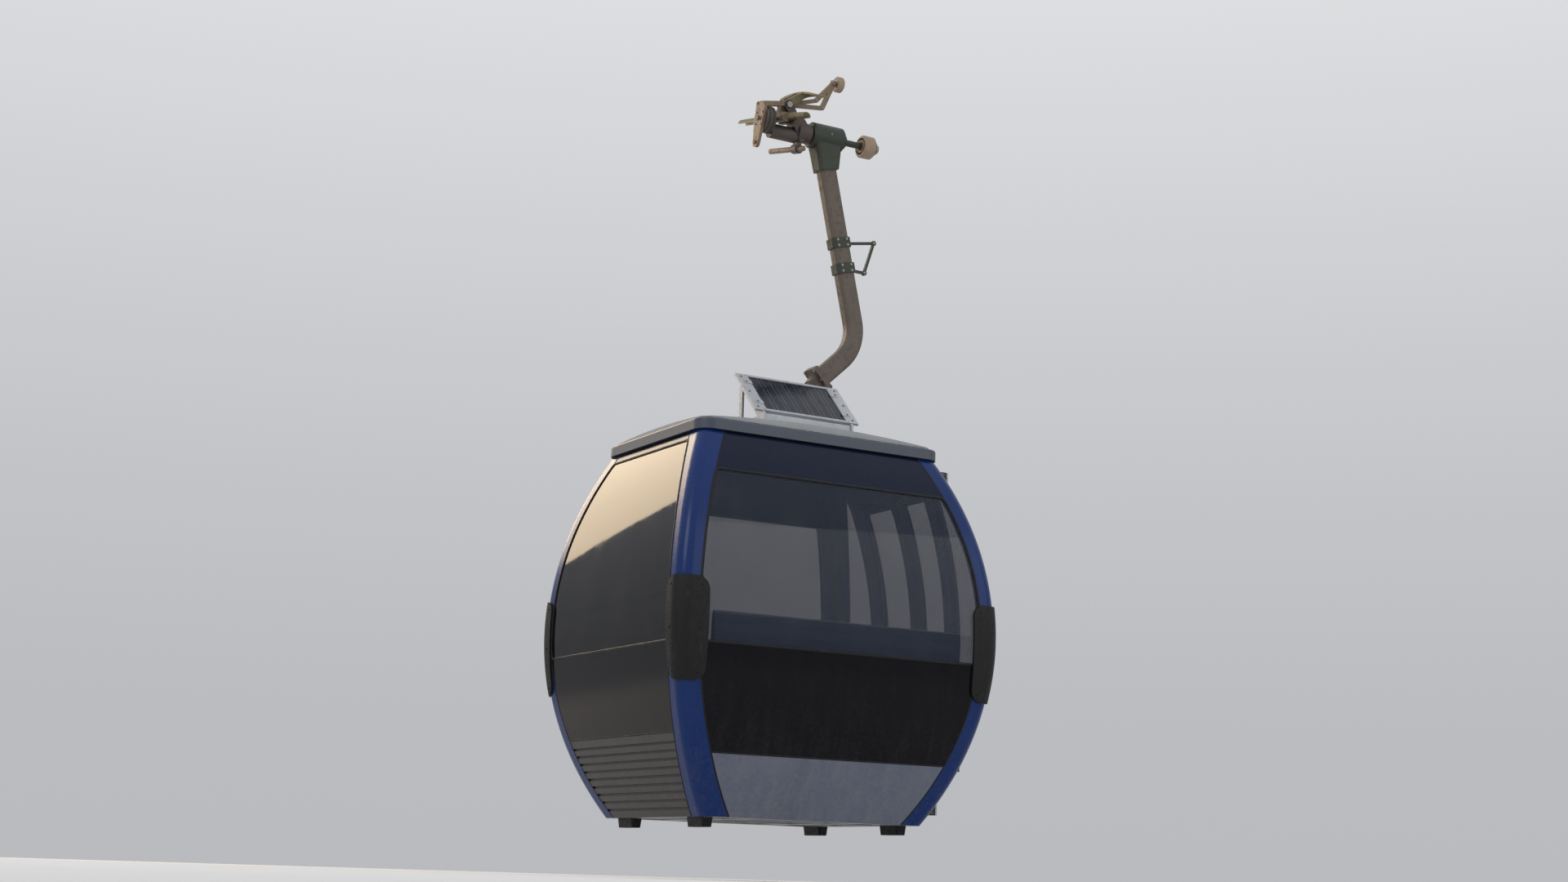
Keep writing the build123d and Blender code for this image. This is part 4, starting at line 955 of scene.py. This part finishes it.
@dataclass
class EdgeStrips:
    """Thin rubber strips that close the joints between posts, panels and skirts."""

    size: Pair = (0.009, 0.003)
    sunk: float = 0.0008
    steps: int = 61
    heights: Pair = (0.004, 2.096)
    end_skirt: float = 0.33
    side_skirt: float = 0.43

    def build(self) -> None:
        """One strip down each side of each post, and level ones over the skirts."""
        height = np.linspace(*self.heights, self.steps)
        upright = [
            wall.ribbon(sign * wall.clear(height), height, self.size, -self.sunk)
            for wall in Wall
            for sign in (1, -1)
        ]
        rubber("post_strips", upright)
        level = []
        for wall in CLOSED_WALLS:
            top = self.end_skirt if wall.is_end else self.side_skirt
            across = np.linspace(-1, 1, self.steps) * wall.clear(top)
            level.append(wall.ribbon(across, np.full(self.steps, top), self.size, -self.sunk))
        rubber("skirt_strips", level)


@dataclass
class Bumpers:
    """Rivets that hold the rubber caps on the posts."""

    heights: Triple = (0.735, 0.965, 1.195)
    end_across: float = 0.895
    side_across: float = 0.772
    out: float = 0.0142
    rivet: float = 0.008

    def build(self) -> None:
        """Three rivets down each edge of each cap."""
        height = np.array(self.heights)
        rivets = []
        for wall in Wall:
            half = self.end_across if wall.is_end else self.side_across
            for across in (half, -half):
                places = wall.at(across, height, self.out)
                rivets.append(studs(button(self.rivet), places, wall.normals(height)))
        rubber("bumper_rivets", rivets)


@dataclass
class Doors:
    """Gaskets where the leaves meet, caps on the ends of the rails, and the caps' screws."""

    gasket_across: float = 0.0105
    gasket_heights: Pair = (0.15, 1.97)
    gasket_steps: int = 49
    gasket: Pair = (0.013, 0.006)
    leaf_out: float = 0.0455
    rail_half: float = 0.5122
    rails: tuple[Pair, ...] = ((1.985, 2.023), (0.135, 0.097))
    rail_out: float = 0.033
    cap: Triple = (0.05, 0.062, 0.005)
    cap_corner: float = 0.006
    screw: float = 0.0045
    screw_rise: float = 0.018

    def build(self) -> None:
        """A bead down each leaf's edge, and a plate with two screws on each end of both rails."""
        height = np.linspace(*self.gasket_heights, self.gasket_steps)
        for side, body, sign in LEAVES:
            across = np.full(self.gasket_steps, sign * self.gasket_across)
            line = Wall.DOOR_SIDE.ribbon(across, height, self.gasket, self.leaf_out)
            rubber(f"leaf_gasket_{side}", [line], body)
        caps, screws = [], []
        for wall_height, middle in self.rails:
            out = WIDTH.half(wall_height, self.rail_out)
            for end in (ACROSS, -ACROSS):
                place = on_body(0, out, middle) + self.rail_half * end
                caps.append(slab(self.cap, self.cap_corner, place, np.cross(UPWARD, end), UPWARD))
                spots = place + end * self.cap[2] + np.outer((1, -1), UPWARD * self.screw_rise)
                screws.append(studs(button(self.screw), spots, end, SCREW_SIDES))
        piece("rail_caps", joined(caps), FINISHES.rack_plastic)
        steel("rail_cap_screws", screws)


@dataclass
class Seats:
    """Crowned cushions on the benches, sewn into places, and curved back cushions."""

    half: float = 0.79
    places: int = 4
    channel: float = 0.013
    gap: float = 0.004
    front: float = 0.288
    top: float = 0.455
    thick: float = 0.062
    sag: float = 0.006
    back_low: float = 0.56
    back_high: float = 1.08
    back_thick: float = 0.051
    wall: float = 0.036
    wall_gap: float = 0.002
    rings: int = 121
    ring_points: int = 48
    seat_form: Triple = (0.35, 0.2, 0.06)
    back_form: Triple = (0.4, 0.25, 0.03)

    def across(self) -> np.ndarray:
        """Places across the bench, one for each ring of a cushion."""
        return np.linspace(-1, 1, self.rings)[:, None] * (self.half - self.gap)

    def crown(self, power: float, pinch: float, taper: float) -> tuple[np.ndarray, ...]:
        """Section of a cushion, a superellipse, and how it changes across the bench.

        Section = (sign cos t x |cos t|^power, sign sin t x |sin t|^0.6).
        Ends = (1 - |across / half|^14)^(1/6). Narrowing = 1 - taper + taper x ends.
        Swell = ends x (1 - pinch x a narrow bell at each place's border) where the section's
        second share is over 0, else 1.

        Args:
            power: the section's first exponent: the smaller, the squarer.
            pinch: depth of the sewn channels, as a share.
            taper: how far the ends draw in, as a share.

        Returns:
            First and second share of the section, narrowing, and swell.
        """
        turn = circle(1.0, self.ring_points)
        first, second = (np.sign(turn) * np.abs(turn) ** (power, 0.6)).T
        across = self.across()
        ends = (1 - np.abs(across / self.half) ** 14) ** (1 / 6)
        borders = np.linspace(-self.half, self.half, self.places + 1)[1:-1]
        bells = np.exp(-(((across - borders) / self.channel) ** 2)).sum(axis=-1, keepdims=True)
        swell = np.where(second > 0, ends * (1 - pinch * bells), 1.0)
        return first, second, 1 - taper + taper * ends, swell

    def sewn(self, name: str, sign: int, depth: np.ndarray, height: np.ndarray) -> bpy.types.Object:
        """A cushion from its grids of depths and heights, one row for each ring.

        Args:
            name: the piece's name.
            sign: 1 for the lower end, -1 for the upper end.
            depth: distances from the cabin's middle.
            height: heights over the body's lower edge.

        Returns:
            The object.
        """
        points = on_body(sign * depth, self.across(), height).reshape(-1, 3)
        shell = Shell(points, [face[::-sign] for face in net(*depth.shape)])
        return piece(name, shell, FINISHES.seat_cloth, crease=SOFT_CREASE)

    def cushion(self, name: str, sign: int) -> bpy.types.Object:
        """A seat cushion, laid level.

        Depth = middle + first share x half depth x narrowing. Height = middle + second share x
        half thickness x swell, less the sag.

        Args:
            name: the piece's name.
            sign: 1 for the lower end, -1 for the upper end.

        Returns:
            The object.
        """
        first, second, narrowing, swell = self.crown(*self.seat_form)
        far = LENGTH.half(self.top + self.thick / 2, -self.wall) - self.gap
        depth = (self.front + far) / 2 + first * (far - self.front) / 2 * narrowing
        sag = np.where(second > 0, self.sag * np.cos(first * np.pi / 2), 0)
        height = self.top + SEAM + self.thick / 2 * (1 + second * swell) - sag
        made = self.sewn(name, sign, depth, height)
        return made

    def backrest(self, name: str, sign: int) -> bpy.types.Object:
        """A back cushion that follows the wall.

        Height = middle + first share x half height x narrowing. Depth = the wall's, less half the
        thickness x (1 + second share x swell).

        Args:
            name: the piece's name.
            sign: 1 for the lower end, -1 for the upper end.

        Returns:
            The object.
        """
        first, second, narrowing, swell = self.crown(*self.back_form)
        half_tall = (self.back_high - self.back_low) / 2 - self.gap
        height = (self.back_low + self.back_high) / 2 + first * half_tall * narrowing
        inwards = self.back_thick / 2 * (1 + second * swell)
        depth = LENGTH.half(height, -self.wall - self.wall_gap) - inwards
        made = self.sewn(name, sign, depth, height)
        return made

    def build(self) -> None:
        """Makes both benches' cushions and lets them stand for the plain pads."""
        for sign, end in ((1, "lower"), (-1, "upper")):
            cushion = self.cushion(f"seat_cushion_{end}", sign)
            back = self.backrest(f"back_cushion_{end}", sign)
            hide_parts("seat_pads")
            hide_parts("back_pads")


@dataclass
class Inside:
    """Ceiling light, trims on the benches' front edges, and the sockets of the hand rail."""

    light: Triple = (0.6, 0.12, 0.02)
    light_corner: float = 0.03
    light_top: float = 2.199
    bench_front: float = 0.3
    trim: Triple = (1.58, 0.024, 0.0015)
    trim_corner: float = 0.004
    trim_middle: float = 0.443
    rail_height: float = 1.18
    rail_wall: float = 0.0365
    socket_inset: float = 0.014
    socket: tuple[Pair, ...] = ((0.0, 0.024), (0.004, 0.024), (0.007, 0.0192), (0.007, 0.012))

    def build(self) -> None:
        """Makes the light, the two trims and the two sockets."""
        lens = slab(self.light, self.light_corner, on_body(0, 0, self.light_top), OUTWARD, ACROSS)
        piece("ceiling_light", lens, FINISHES.roof_skin)
        trims = []
        for sign in (1, -1):
            place = on_body(sign * self.bench_front, 0, self.trim_middle)
            trims.append(slab(self.trim, self.trim_corner, place, -sign * OUTWARD, -UPWARD))
        steel("bench_trims", trims)
        reach = Wall.INNER_SIDE.clear(self.rail_height) - self.socket_inset
        out = -WIDTH.half(self.rail_height, -self.rail_wall)
        places = on_body([reach, -reach], out, self.rail_height)
        sockets = studs(self.socket, places, OUTWARD, count=24)
        piece("rail_sockets", sockets, FINISHES.frame_metal)


@dataclass
class Roof:
    """The rim's rivets and drip strip, the dome's gasket and seams, and the fastenings on it."""

    half_length: float = 0.597
    half_width: float = 0.795
    corner: float = 0.09
    top: float = 2.1623
    rivet: float = 0.005
    pitch: float = 0.1
    inset: float = 0.022
    drip: Triple = (0.006, 2.0993, 0.0035)
    dome_r: float = 8.0
    dome_top: float = 2.2286
    dome_half: Pair = (0.565, 0.763)
    gasket: Triple = (0.072, 2.1656, 0.004)
    seams: Pair = (-0.5, 0.5)
    seam: Pair = (0.024, 0.0045)
    seam_inset: float = 0.02
    seam_sunk: float = 0.0006
    seam_points: int = 41
    beam: Pair = (0.145, 0.163)
    foot_plate: Triple = (0.13, 0.09, 0.007)
    foot_corner: float = 0.012
    foot_sunk: float = 0.002
    foot_bolts: Pair = (0.049, 0.029)
    foot_bolt: float = 0.0065
    disc: tuple[Pair, ...] = ((0.0, 0.0354), (0.0006, 0.036), (0.0026, 0.036), (0.0032, 0.0354))
    disc_heights: Pair = (2.2869, 2.3289)
    buffer_out: float = 0.062
    pad_top: float = 2.3472
    pad_bolts: Pair = (0.03, 0.09)
    pad_bolt: float = 0.0085

    def dome(self, across: np.ndarray, out: np.ndarray) -> np.ndarray:
        """Height of the dome: top - radius + square root of (radius^2 - across^2 - out^2)."""
        over = np.sqrt(self.dome_r**2 - np.square(across) - np.square(out))
        return self.dome_top - self.dome_r + over

    def row(self, half: float) -> np.ndarray:
        """Even places of the rivets along a side of the rim with this half length."""
        return np.arange(self.corner - half, half - self.corner + self.pitch / 10, self.pitch)

    def rim(self) -> None:
        """Rivets in a row along the middle of the rim's top, and a strip below its outer edge."""
        long, short = self.half_length - self.inset, self.half_width - self.inset
        places = [on_body(across, self.row(self.half_width), self.top) for across in (long, -long)]
        places += [on_body(self.row(self.half_length), out, self.top) for out in (short, -short)]
        steel("rim_rivets", [bolts(np.vstack(places), UPWARD, self.rivet, False)])
        inset, height, radius = self.drip
        size = (2 * (self.half_length - inset), 2 * (self.half_width - inset))
        corner = self.corner - inset
        strip = wire(on_body(0, 0, height), ACROSS, OUTWARD, size, corner, radius)
        rubber("drip_strip", [strip])

    def shell(self) -> None:
        """A gasket round the dome's edge, and two raised seams across it."""
        half_length, half_width = self.dome_half
        corner, height, radius = self.gasket
        size = (2 * half_length, 2 * half_width)
        gasket = wire(on_body(0, 0, height), ACROSS, OUTWARD, size, corner, radius)
        rubber("dome_gasket", [gasket])
        across = np.linspace(-1, 1, self.seam_points) * (half_length - self.seam_inset)
        lines = []
        for out in self.seams:
            path = on_body(across, out, self.dome(across, out) - self.seam_sunk)
            lines.append(carried(bead(*self.seam), path, OUTWARD, UPWARD))
        piece("dome_seams", joined(lines), FINISHES.roof_skin)

    def mounts(self) -> None:
        """Plates and bolts of the cross frame, discs on the buffers, bolts of the fork's pads."""
        plates, heads = [], []
        spread = np.insert(corners(*self.foot_bolts), 2, self.foot_plate[2], axis=1)
        for x, y in corners(*self.beam):
            place = on_body(x, y, self.dome(x, y) - self.foot_sunk)
            plates.append(slab(self.foot_plate, self.foot_corner, place, ACROSS, OUTWARD))
            heads.append(place + spread)
        piece("beam_plates", joined(plates), FINISHES.frame_metal)
        steel("beam_bolts", [bolts(np.vstack(heads), UPWARD, self.foot_bolt)])
        middles = corners(self.beam[0], self.buffer_out)
        discs = [
            studs(self.disc, on_body(*middles.T, height), up, count=32)
            for height, up in zip(self.disc_heights, (UPWARD, -UPWARD))
        ]
        piece("buffer_discs", joined(discs), FINISHES.frame_metal)
        near, far = self.pad_bolts
        spots = np.vstack([corners(self.beam[0] + near, far), corners(self.beam[0] - near, far)])
        steel("pad_bolts", [bolts(on_body(*spots.T, self.pad_top), UPWARD, self.pad_bolt)])

    def build(self) -> None:
        """Makes the rim's, the dome's and the mounts' pieces."""
        self.rim()
        self.shell()
        self.mounts()


@dataclass
class SolarTrim:
    """Screws, clips and bolts of the solar panel, and the box on its back."""

    middle: Triple = (0.345, -0.045, 2.4026)
    tilt: float = PANEL_TILT
    edge: Pair = (0.276, 0.171)
    thick: float = 0.026
    screw: float = 0.0045
    clip: Triple = (0.05, 0.034, 0.003)
    clip_corner: float = 0.005
    clip_out: float = 0.288
    clip_bolt_out: float = 0.298
    clip_high: float = 0.1
    flange: float = 0.3143
    flange_highs: Triple = (0.15, 0.0, -0.15)
    bolt: float = 0.0055
    box: Triple = (0.12, 0.08, 0.022)
    box_corner: float = 0.01
    box_high: float = 0.06
    foot_across: Pair = (0.2363, 0.4509)
    foot_out: Pair = (0.284, -0.374)
    foot_half: float = 0.02
    foot_rise: float = 0.007
    foot_bolt: float = 0.006

    def build(self) -> None:
        """Works in the panel's own plane: across it, up its slope, and out of its face."""
        slope = np.array([-math.cos(self.tilt), 0, math.sin(self.tilt)])
        normal = np.cross(OUTWARD, slope)

        def face(across: object, high: object, out: float = 0.0) -> np.ndarray:
            """Points on the panel's face."""
            flat = merged(across, high, out) @ np.stack([OUTWARD, slope, normal])
            return on_body(*self.middle) + flat

        wide, tall = self.edge
        rows = [face([wide, 0.0, -wide], high) for high in (tall, -tall)]
        screws = [studs(button(self.screw), row, normal, SCREW_SIDES) for row in rows]
        steel("panel_screws", screws)
        clips = [
            slab(self.clip, self.clip_corner, face(across, high), OUTWARD, slope)
            for across, high in corners(self.clip_out, self.clip_high)
        ]
        piece("panel_clips", joined(clips), FINISHES.frame_metal)
        heads = [face(*corners(self.clip_bolt_out, self.clip_high).T, self.clip[2])]
        heads += [face(across, self.flange_highs) for across in (self.flange, -self.flange)]
        steel("panel_bolts", [bolts(np.vstack(heads), normal, self.bolt)])
        place = face(0, self.box_high, -self.thick)
        box = slab(self.box, self.box_corner, place, -OUTWARD, slope)
        piece("junction_box", box, FINISHES.rack_plastic)
        across = np.add.outer(self.foot_across, (-self.foot_half, self.foot_half)).reshape(-1, 1)
        height = Roof().dome(across, self.foot_out) + self.foot_rise
        feet = on_body(across, self.foot_out, height).reshape(-1, 3)
        steel("bracket_bolts", [bolts(feet, UPWARD, self.foot_bolt)])


@dataclass
class Hanger:
    """Fasteners and welds of the head, the arm, its flanges, the fork and the door lever."""

    arm_top: Pair = (0.318, -0.262)
    arm_bend: Pair = (0.566, -1.33)
    arm_end: Pair = (0.3, -1.575)
    section: Pair = (0.08, 0.115)
    root: Pair = (0.08, 0.093)
    corner: float = 0.022
    flange_thick: float = 0.016
    flange_bolts: Pair = (0.053, 0.07)
    flange_bolt: float = 0.008
    weld: float = 0.0045
    leg_r: float = 0.03
    leg_foot: Pair = (0.145, 2.3382)
    pad_top: float = 2.3472
    bands: tuple[Pair, ...] = ((0.4209, -0.705), (0.4569, -0.86))
    band_face: float = 0.0483
    band_bolts: Pair = (0.018, 0.032)
    band_bolt: float = 0.0055
    tips: tuple[Pair, ...] = ((0.6709, -0.66), (0.6069, -0.86))
    tip_half: float = 0.008
    tip_rivet: float = 0.009
    hub_end: float = 0.412
    hub_r: float = 0.08
    hub_bolts: float = 0.058
    hub_bolt: float = 0.0055
    nipple_out: float = 0.3

    def fork_welds(self, root: np.ndarray) -> list[Shell]:
        """Weld rings where the legs meet the pads: each leg's round side at the pad's height.

        Args:
            root: where the legs' middle lines meet.

        Returns:
            A closed tube for each leg.
        """
        rings = []
        for sign in (1, -1):
            foot = on_body(sign * self.leg_foot[0], 0, self.leg_foot[1])
            along = unit(root - foot)
            first = unit(np.cross(along, UPWARD))
            spokes = circle(self.leg_r, 32) @ np.stack([first, np.cross(first, along)])
            rise = (FOOT_Z + self.pad_top - foot[2] - spokes[:, 2:]) / along[2]
            rings.append(tube(foot + spokes + rise * along, self.weld))
        return rings

    def flanges(self) -> None:
        """Bolts of the two flanges, and welds round the arm's ends and the fork's root and feet."""
        spots = (self.arm_top, self.arm_bend, self.arm_end)
        top, bend, end = (np.array([PIVOT_X, *spot]) for spot in spots)
        inward = unit(end - bend)
        up = np.cross(inward, ACROSS)
        grid = np.array([(a, b) for a in (-1, 1) for b in (-1, 0, 1)]) * self.flange_bolts
        grid = grid @ np.stack([ACROSS, up])
        outer = end - inward * self.flange_thick
        inner = end + inward * (self.flange_thick + SEAM)
        faces = ((outer, -inward), (inner, inward))
        steel("flange_bolts", [bolts(face + grid, way, self.flange_bolt) for face, way in faces])
        arm_up = np.cross(unit(bend - top), ACROSS)
        ends = ((top, arm_up, self.section), (outer, up, self.section), (inner, up, self.root))
        rings = [
            wire(place, ACROSS, high, size, self.corner, self.weld) for place, high, size in ends
        ]
        rings += self.fork_welds(inner + inward * self.leg_r)
        piece("hanger_welds", joined(rings), FINISHES.hanger_steel, crease=SOFT_CREASE)

    def lever(self) -> None:
        """Bolts of the two bands on the arm, and rivets at the lever's tips."""
        lean = unit(np.array([0.0, *np.subtract(self.arm_bend, self.arm_top)]))
        spread = corners(*self.band_bolts) @ np.stack([lean, np.cross(lean, ACROSS)])
        heads, rivets = [], []
        for sign in (1, -1):
            for band in self.bands:
                place = np.array([PIVOT_X + sign * self.band_face, *band])
                heads.append(bolts(place + spread, sign * ACROSS, self.band_bolt))
            for tip in self.tips:
                place = np.array([PIVOT_X + sign * self.tip_half, *tip])
                rivets.append(studs(button(self.tip_rivet), place, sign * ACROSS))
        steel("band_bolts", heads)
        steel("lever_rivets", rivets)

    def hub(self) -> None:
        """Cover bolts round the hub's outer face, and its grease nipple."""
        along, high = circle(self.hub_bolts, 8).T
        places = merged(PIVOT_X + along, self.hub_end, PIVOT_Z + high)
        steel("hub_bolts", [bolts(places, OUTWARD, self.hub_bolt)])
        place = np.array([PIVOT_X + self.hub_r, self.nipple_out, PIVOT_Z])
        steel("hub_nipple", [studs(NIPPLE, place, ACROSS)])

    def build(self) -> None:
        """Makes the flanges', the lever's and the hub's pieces."""
        self.flanges()
        self.lever()
        self.hub()


@dataclass
class GripTrim:
    """Fasteners of the grip, placed along the rope, outwards, and square to the rope upwards."""

    axle_up: float = -0.055
    roller_faces: Pair = (0.576, 0.624)
    roller_screws: float = 0.046
    screw: float = 0.0045
    axle_nut: Pair = (0.6545, 0.03)
    lever_roller: Pair = (0.3235, 0.3635)
    roller_up: float = 0.284
    bearing: Triple = (0.008, 0.003, 0.0008)
    bearing_r: float = 0.024
    pin_out: float = 0.378
    pin_wire: float = 0.0018
    pin_eye: Pair = (0.004, 0.016)
    pin_eye_turn: float = 5.2
    pin_legs: tuple[Pair, ...] = ((0.0, 0.011), (0.0, -0.013), (0.001, -0.017), (0.006, -0.021))
    jaw_face: float = 0.057
    jaw_bolt: float = 0.007
    fixed_jaw: Pair = (0.072, 0.008)
    moving_jaw: Pair = (0.065, 0.006)
    lever_joints: tuple[Pair, ...] = ((0.25, 0.12), (0.2, 0.156), (0.302, 0.284))
    lever_half: float = 0.012
    lever_pin: float = 0.0085
    end_face: float = -0.1723
    end_bolts: float = 0.036
    cup: Pair = (0.0812, -0.024)
    cup_bands: Pair = (-0.106, -0.134)
    cup_band: Triple = (0.004, 0.009, 0.0015)
    plate_bolts: Pair = (0.0395, 0.1831)
    plate_outs: Pair = (0.095, 0.125)
    plate_bolt: float = 0.006
    tongue: Pair = (0.118, 0.0373)
    tongue_turns: Triple = (35.0, 90.0, 145.0)
    nipple: Triple = (0.0, 0.14, 0.007)

    def split_pin(self) -> Shell:
        """A split pin through the roller's pin: an eye above it, a shank, and bent legs below.

        Returns:
            The shell.
        """
        radius, middle = self.pin_eye
        turn = np.linspace(0, self.pin_eye_turn, 12)
        eye = on_grip(radius * np.cos(turn), 0, middle + radius * np.sin(turn))
        along, up = np.array(self.pin_legs).T
        path = np.vstack([eye, on_grip(along, 0, up)])
        return tube(path + on_grip(0, self.pin_out, self.roller_up), self.pin_wire, False)

    def rollers(self) -> None:
        """Screws and bearing rings of both rollers, the axle's nut, and the split pin."""
        along, high = circle(self.roller_screws, 6).T
        screws = [
            bolts(on_grip(along, out, self.axle_up + high), sign * OUTWARD, self.screw, False)
            for out, sign in zip(self.roller_faces, (-1, 1))
        ]
        steel("roller_screws", screws, Body.RUNNING_WHEEL)
        out, size = self.axle_nut
        steel("axle_nut", [bolts(on_grip(0, out, self.axle_up), OUTWARD, size)], Body.GRIP)
        section = bar(*self.bearing, count=2)
        rings = [
            hoop(section, self.bearing_r, on_grip(0, out, self.roller_up), OUTWARD)
            for out in self.lever_roller
        ]
        steel("lever_bearings", rings, Body.LEVER_WHEEL)
        steel("lever_split_pin", [self.split_pin()], Body.JAW)

    def jaws(self) -> None:
        """Bolts of the jaw liners, the lever's pins, and the end plate's bolts."""
        along, up = self.fixed_jaw
        heads = bolts(on_grip([along, -along], self.jaw_face, up), OUTWARD, self.jaw_bolt)
        steel("fixed_jaw_bolts", [heads], Body.GRIP)
        along, up = self.moving_jaw
        heads = bolts(on_grip([along, -along], -self.jaw_face, up), -OUTWARD, self.jaw_bolt)
        steel("moving_jaw_bolts", [heads], Body.JAW)
        joints = np.array(self.lever_joints).T
        ends = ((self.lever_half, GRIP_ALONG), (-self.lever_half, -GRIP_ALONG))
        pins = [studs(button(self.lever_pin), on_grip(end, *joints), way) for end, way in ends]
        steel("lever_pins", pins, Body.JAW)
        along, up = corners(self.end_bolts, self.end_bolts).T
        places = on_grip(along, self.end_face, up + self.cup[1])
        steel("end_plate_bolts", [bolts(places, -OUTWARD, self.plate_bolt)], Body.GRIP)

    def cover(self) -> None:
        """Bands of the cup, bolts of the friction plate and the tongues, the boss's nipple."""
        radius, up = self.cup
        section = bar(*self.cup_band, count=2)
        bands = [
            hoop(section, radius, on_grip(0, out, up), OUTWARD, count=48) for out in self.cup_bands
        ]
        piece("cup_bands", joined(bands), FINISHES.head_steel, Body.GRIP)
        along, up = self.plate_bolts
        places = on_grip([along, -along] * 2, np.repeat(self.plate_outs, 2), up)
        steel("friction_plate_bolts", [bolts(places, GRIP_UP, self.plate_bolt)], Body.GRIP)
        along, reach = self.tongue
        turn = np.radians(self.tongue_turns)
        out, up = np.cos(turn), np.sin(turn)
        heads = [
            bolts(on_grip(end, reach * out, reach * up), on_grip(0, out, up), self.screw, False)
            for end in (along, -along)
        ]
        steel("tongue_bolts", heads, Body.GRIP)
        steel("boss_nipple", [studs(NIPPLE, on_grip(*self.nipple), GRIP_UP)], Body.GRIP)

    def build(self) -> None:
        """Makes the rollers', the jaws' and the cover pieces."""
        self.rollers()
        self.jaws()
        self.cover()


def dress_frame() -> None:
    """Gives every CAD node the finish of its slot, but for a few with a tone of their own."""
    slots = {row["node"]: row["material_slot"] for row in frame["record"]["subparts"]}
    for name, node in frame["nodes"].items():
        finish = getattr(FINISHES, OWN_FINISHES.get(name, slots[name]))
        node.data.materials.clear()
        node.data.materials.append(finish.material())
        log.info("%s: %s", name, finish.slot)


def looking(place: Triple) -> Quaternion:
    """Turn of a lamp or a camera that looks from a place at the aim."""
    return (Vector(CAMERA_AIM) - Vector(place)).to_track_quat("-Z", "Y")


@dataclass
class Studio:
    """Pale floor, a world that pales upwards, soft lamps, and the camera at the photo's angle."""

    half_floor: float = 300.0
    floor_tones: tuple[Triple, Triple] = ((0.74, 0.75, 0.77), (0.78, 0.79, 0.81))
    low_tone: Triple = (0.485, 0.495, 0.515)
    high_tone: Triple = (0.93, 0.94, 0.96)
    pale_from: float = 0.75
    shed: float = 0.62

    def lamp(self, name: str, place: Triple, size: float, power: float, warm: float = 0.0) -> None:
        """A square area lamp that faces the object.

        Args:
            name: the lamp's name.
            place: where it hangs.
            size: edge length.
            power: watts.
            warm: how far its light leans from white to amber.
        """
        data = bpy.data.lights.new(name, "AREA")
        data.shape = "SQUARE"
        data.size = size
        data.energy = power
        data.color = (1.0, 1.0 - 0.25 * warm, 1.0 - 0.55 * warm)
        made = linked(name, data)
        made.location = place
        made.rotation_euler = looking(place).to_euler()

    def world(self) -> None:
        """A world that looks pale and brighter upwards, and sheds an even light."""
        world = bpy.data.worlds.new("studio")
        bpy.context.scene.world = world
        world.use_nodes = True
        world.node_tree.nodes.clear()
        sheet = Sheet(world)
        rays = sheet.node("LightPath").outputs
        mirrored = sheet.math("MAXIMUM", rays["Is Glossy Ray"], rays["Is Transmission Ray"])
        seen = sheet.math("MAXIMUM", rays["Is Camera Ray"], mirrored)
        rise = sheet.node("SeparateXYZ", sheet.node("TexCoord").outputs["Generated"]).outputs[2]
        rise = sheet.ramp(rise, 0.0, self.pale_from)
        pale = sheet.blend(rise, tone(self.low_tone), tone(self.high_tone))
        shown = sheet.node("Background", pale, 1.0)
        lit = sheet.node("Background", (1, 1, 1, 1), self.shed)
        mixed = sheet.node("MixShader", seen, lit.outputs[0], shown.outputs[0])
        sheet.node("OutputWorld", mixed.outputs[0])

    def ground(self) -> None:
        """The floor, a wide square with a faint unevenness."""
        spots = bar(2 * self.half_floor, 2 * self.half_floor, 0.0, 0)[[2, 3, 0, 1]]
        mesh = bpy.data.meshes.new("floor")
        mesh.from_pydata(np.insert(spots, 2, FLOOR_Z, axis=1).tolist(), [], [[0, 1, 2, 3]])
        material = bpy.data.materials.new("floor")
        sheet = Sheet(material)
        dark, light = (tone(colour) for colour in self.floor_tones)
        sheet.set(Base_Color=sheet.blend(sheet.noise(0.7), dark, light), Roughness=0.9)
        mesh.materials.append(material)
        made = linked("floor", mesh)

    def camera(self) -> None:
        """The camera where the photograph was taken from, with a longer lens."""
        data = bpy.data.cameras.new("camera")
        data.lens = CAMERA_LENS
        made = linked("camera", data)
        made.location = CAMERA_PLACE
        aim = looking(CAMERA_PLACE).to_matrix().to_4x4()
        made.rotation_euler = (aim @ Matrix.Rotation(CAMERA_ROLL, 4, "Z")).to_euler()
        bpy.context.scene.camera = made

    def build(self) -> None:
        """Sets the world, floor, lamps and camera."""
        bpy.context.scene.view_settings.view_transform = "Standard"
        self.world()
        self.ground()
        self.lamp("key", (6.5, -9.5, 5.0), size=5.0, power=300.0)
        self.lamp("fill", (9.5, 6.0, 1.0), size=6.0, power=110.0)
        self.lamp("glow", (-10.5, -2.2, 2.6), size=5.0, power=510.0, warm=0.85)
        self.camera()


def main() -> None:
    """Builds the studio, dresses the frame and adds every piece."""
    logging.basicConfig(level=logging.INFO, format="%(message)s")
    Studio().build()
    dress_frame()
    for part in (
        Glasswork, EdgeStrips, Bumpers, Doors, Seats, Inside, Roof, SolarTrim, Hanger, GripTrim
    ):
        part().build()


if __name__ == "__main__":
    main()
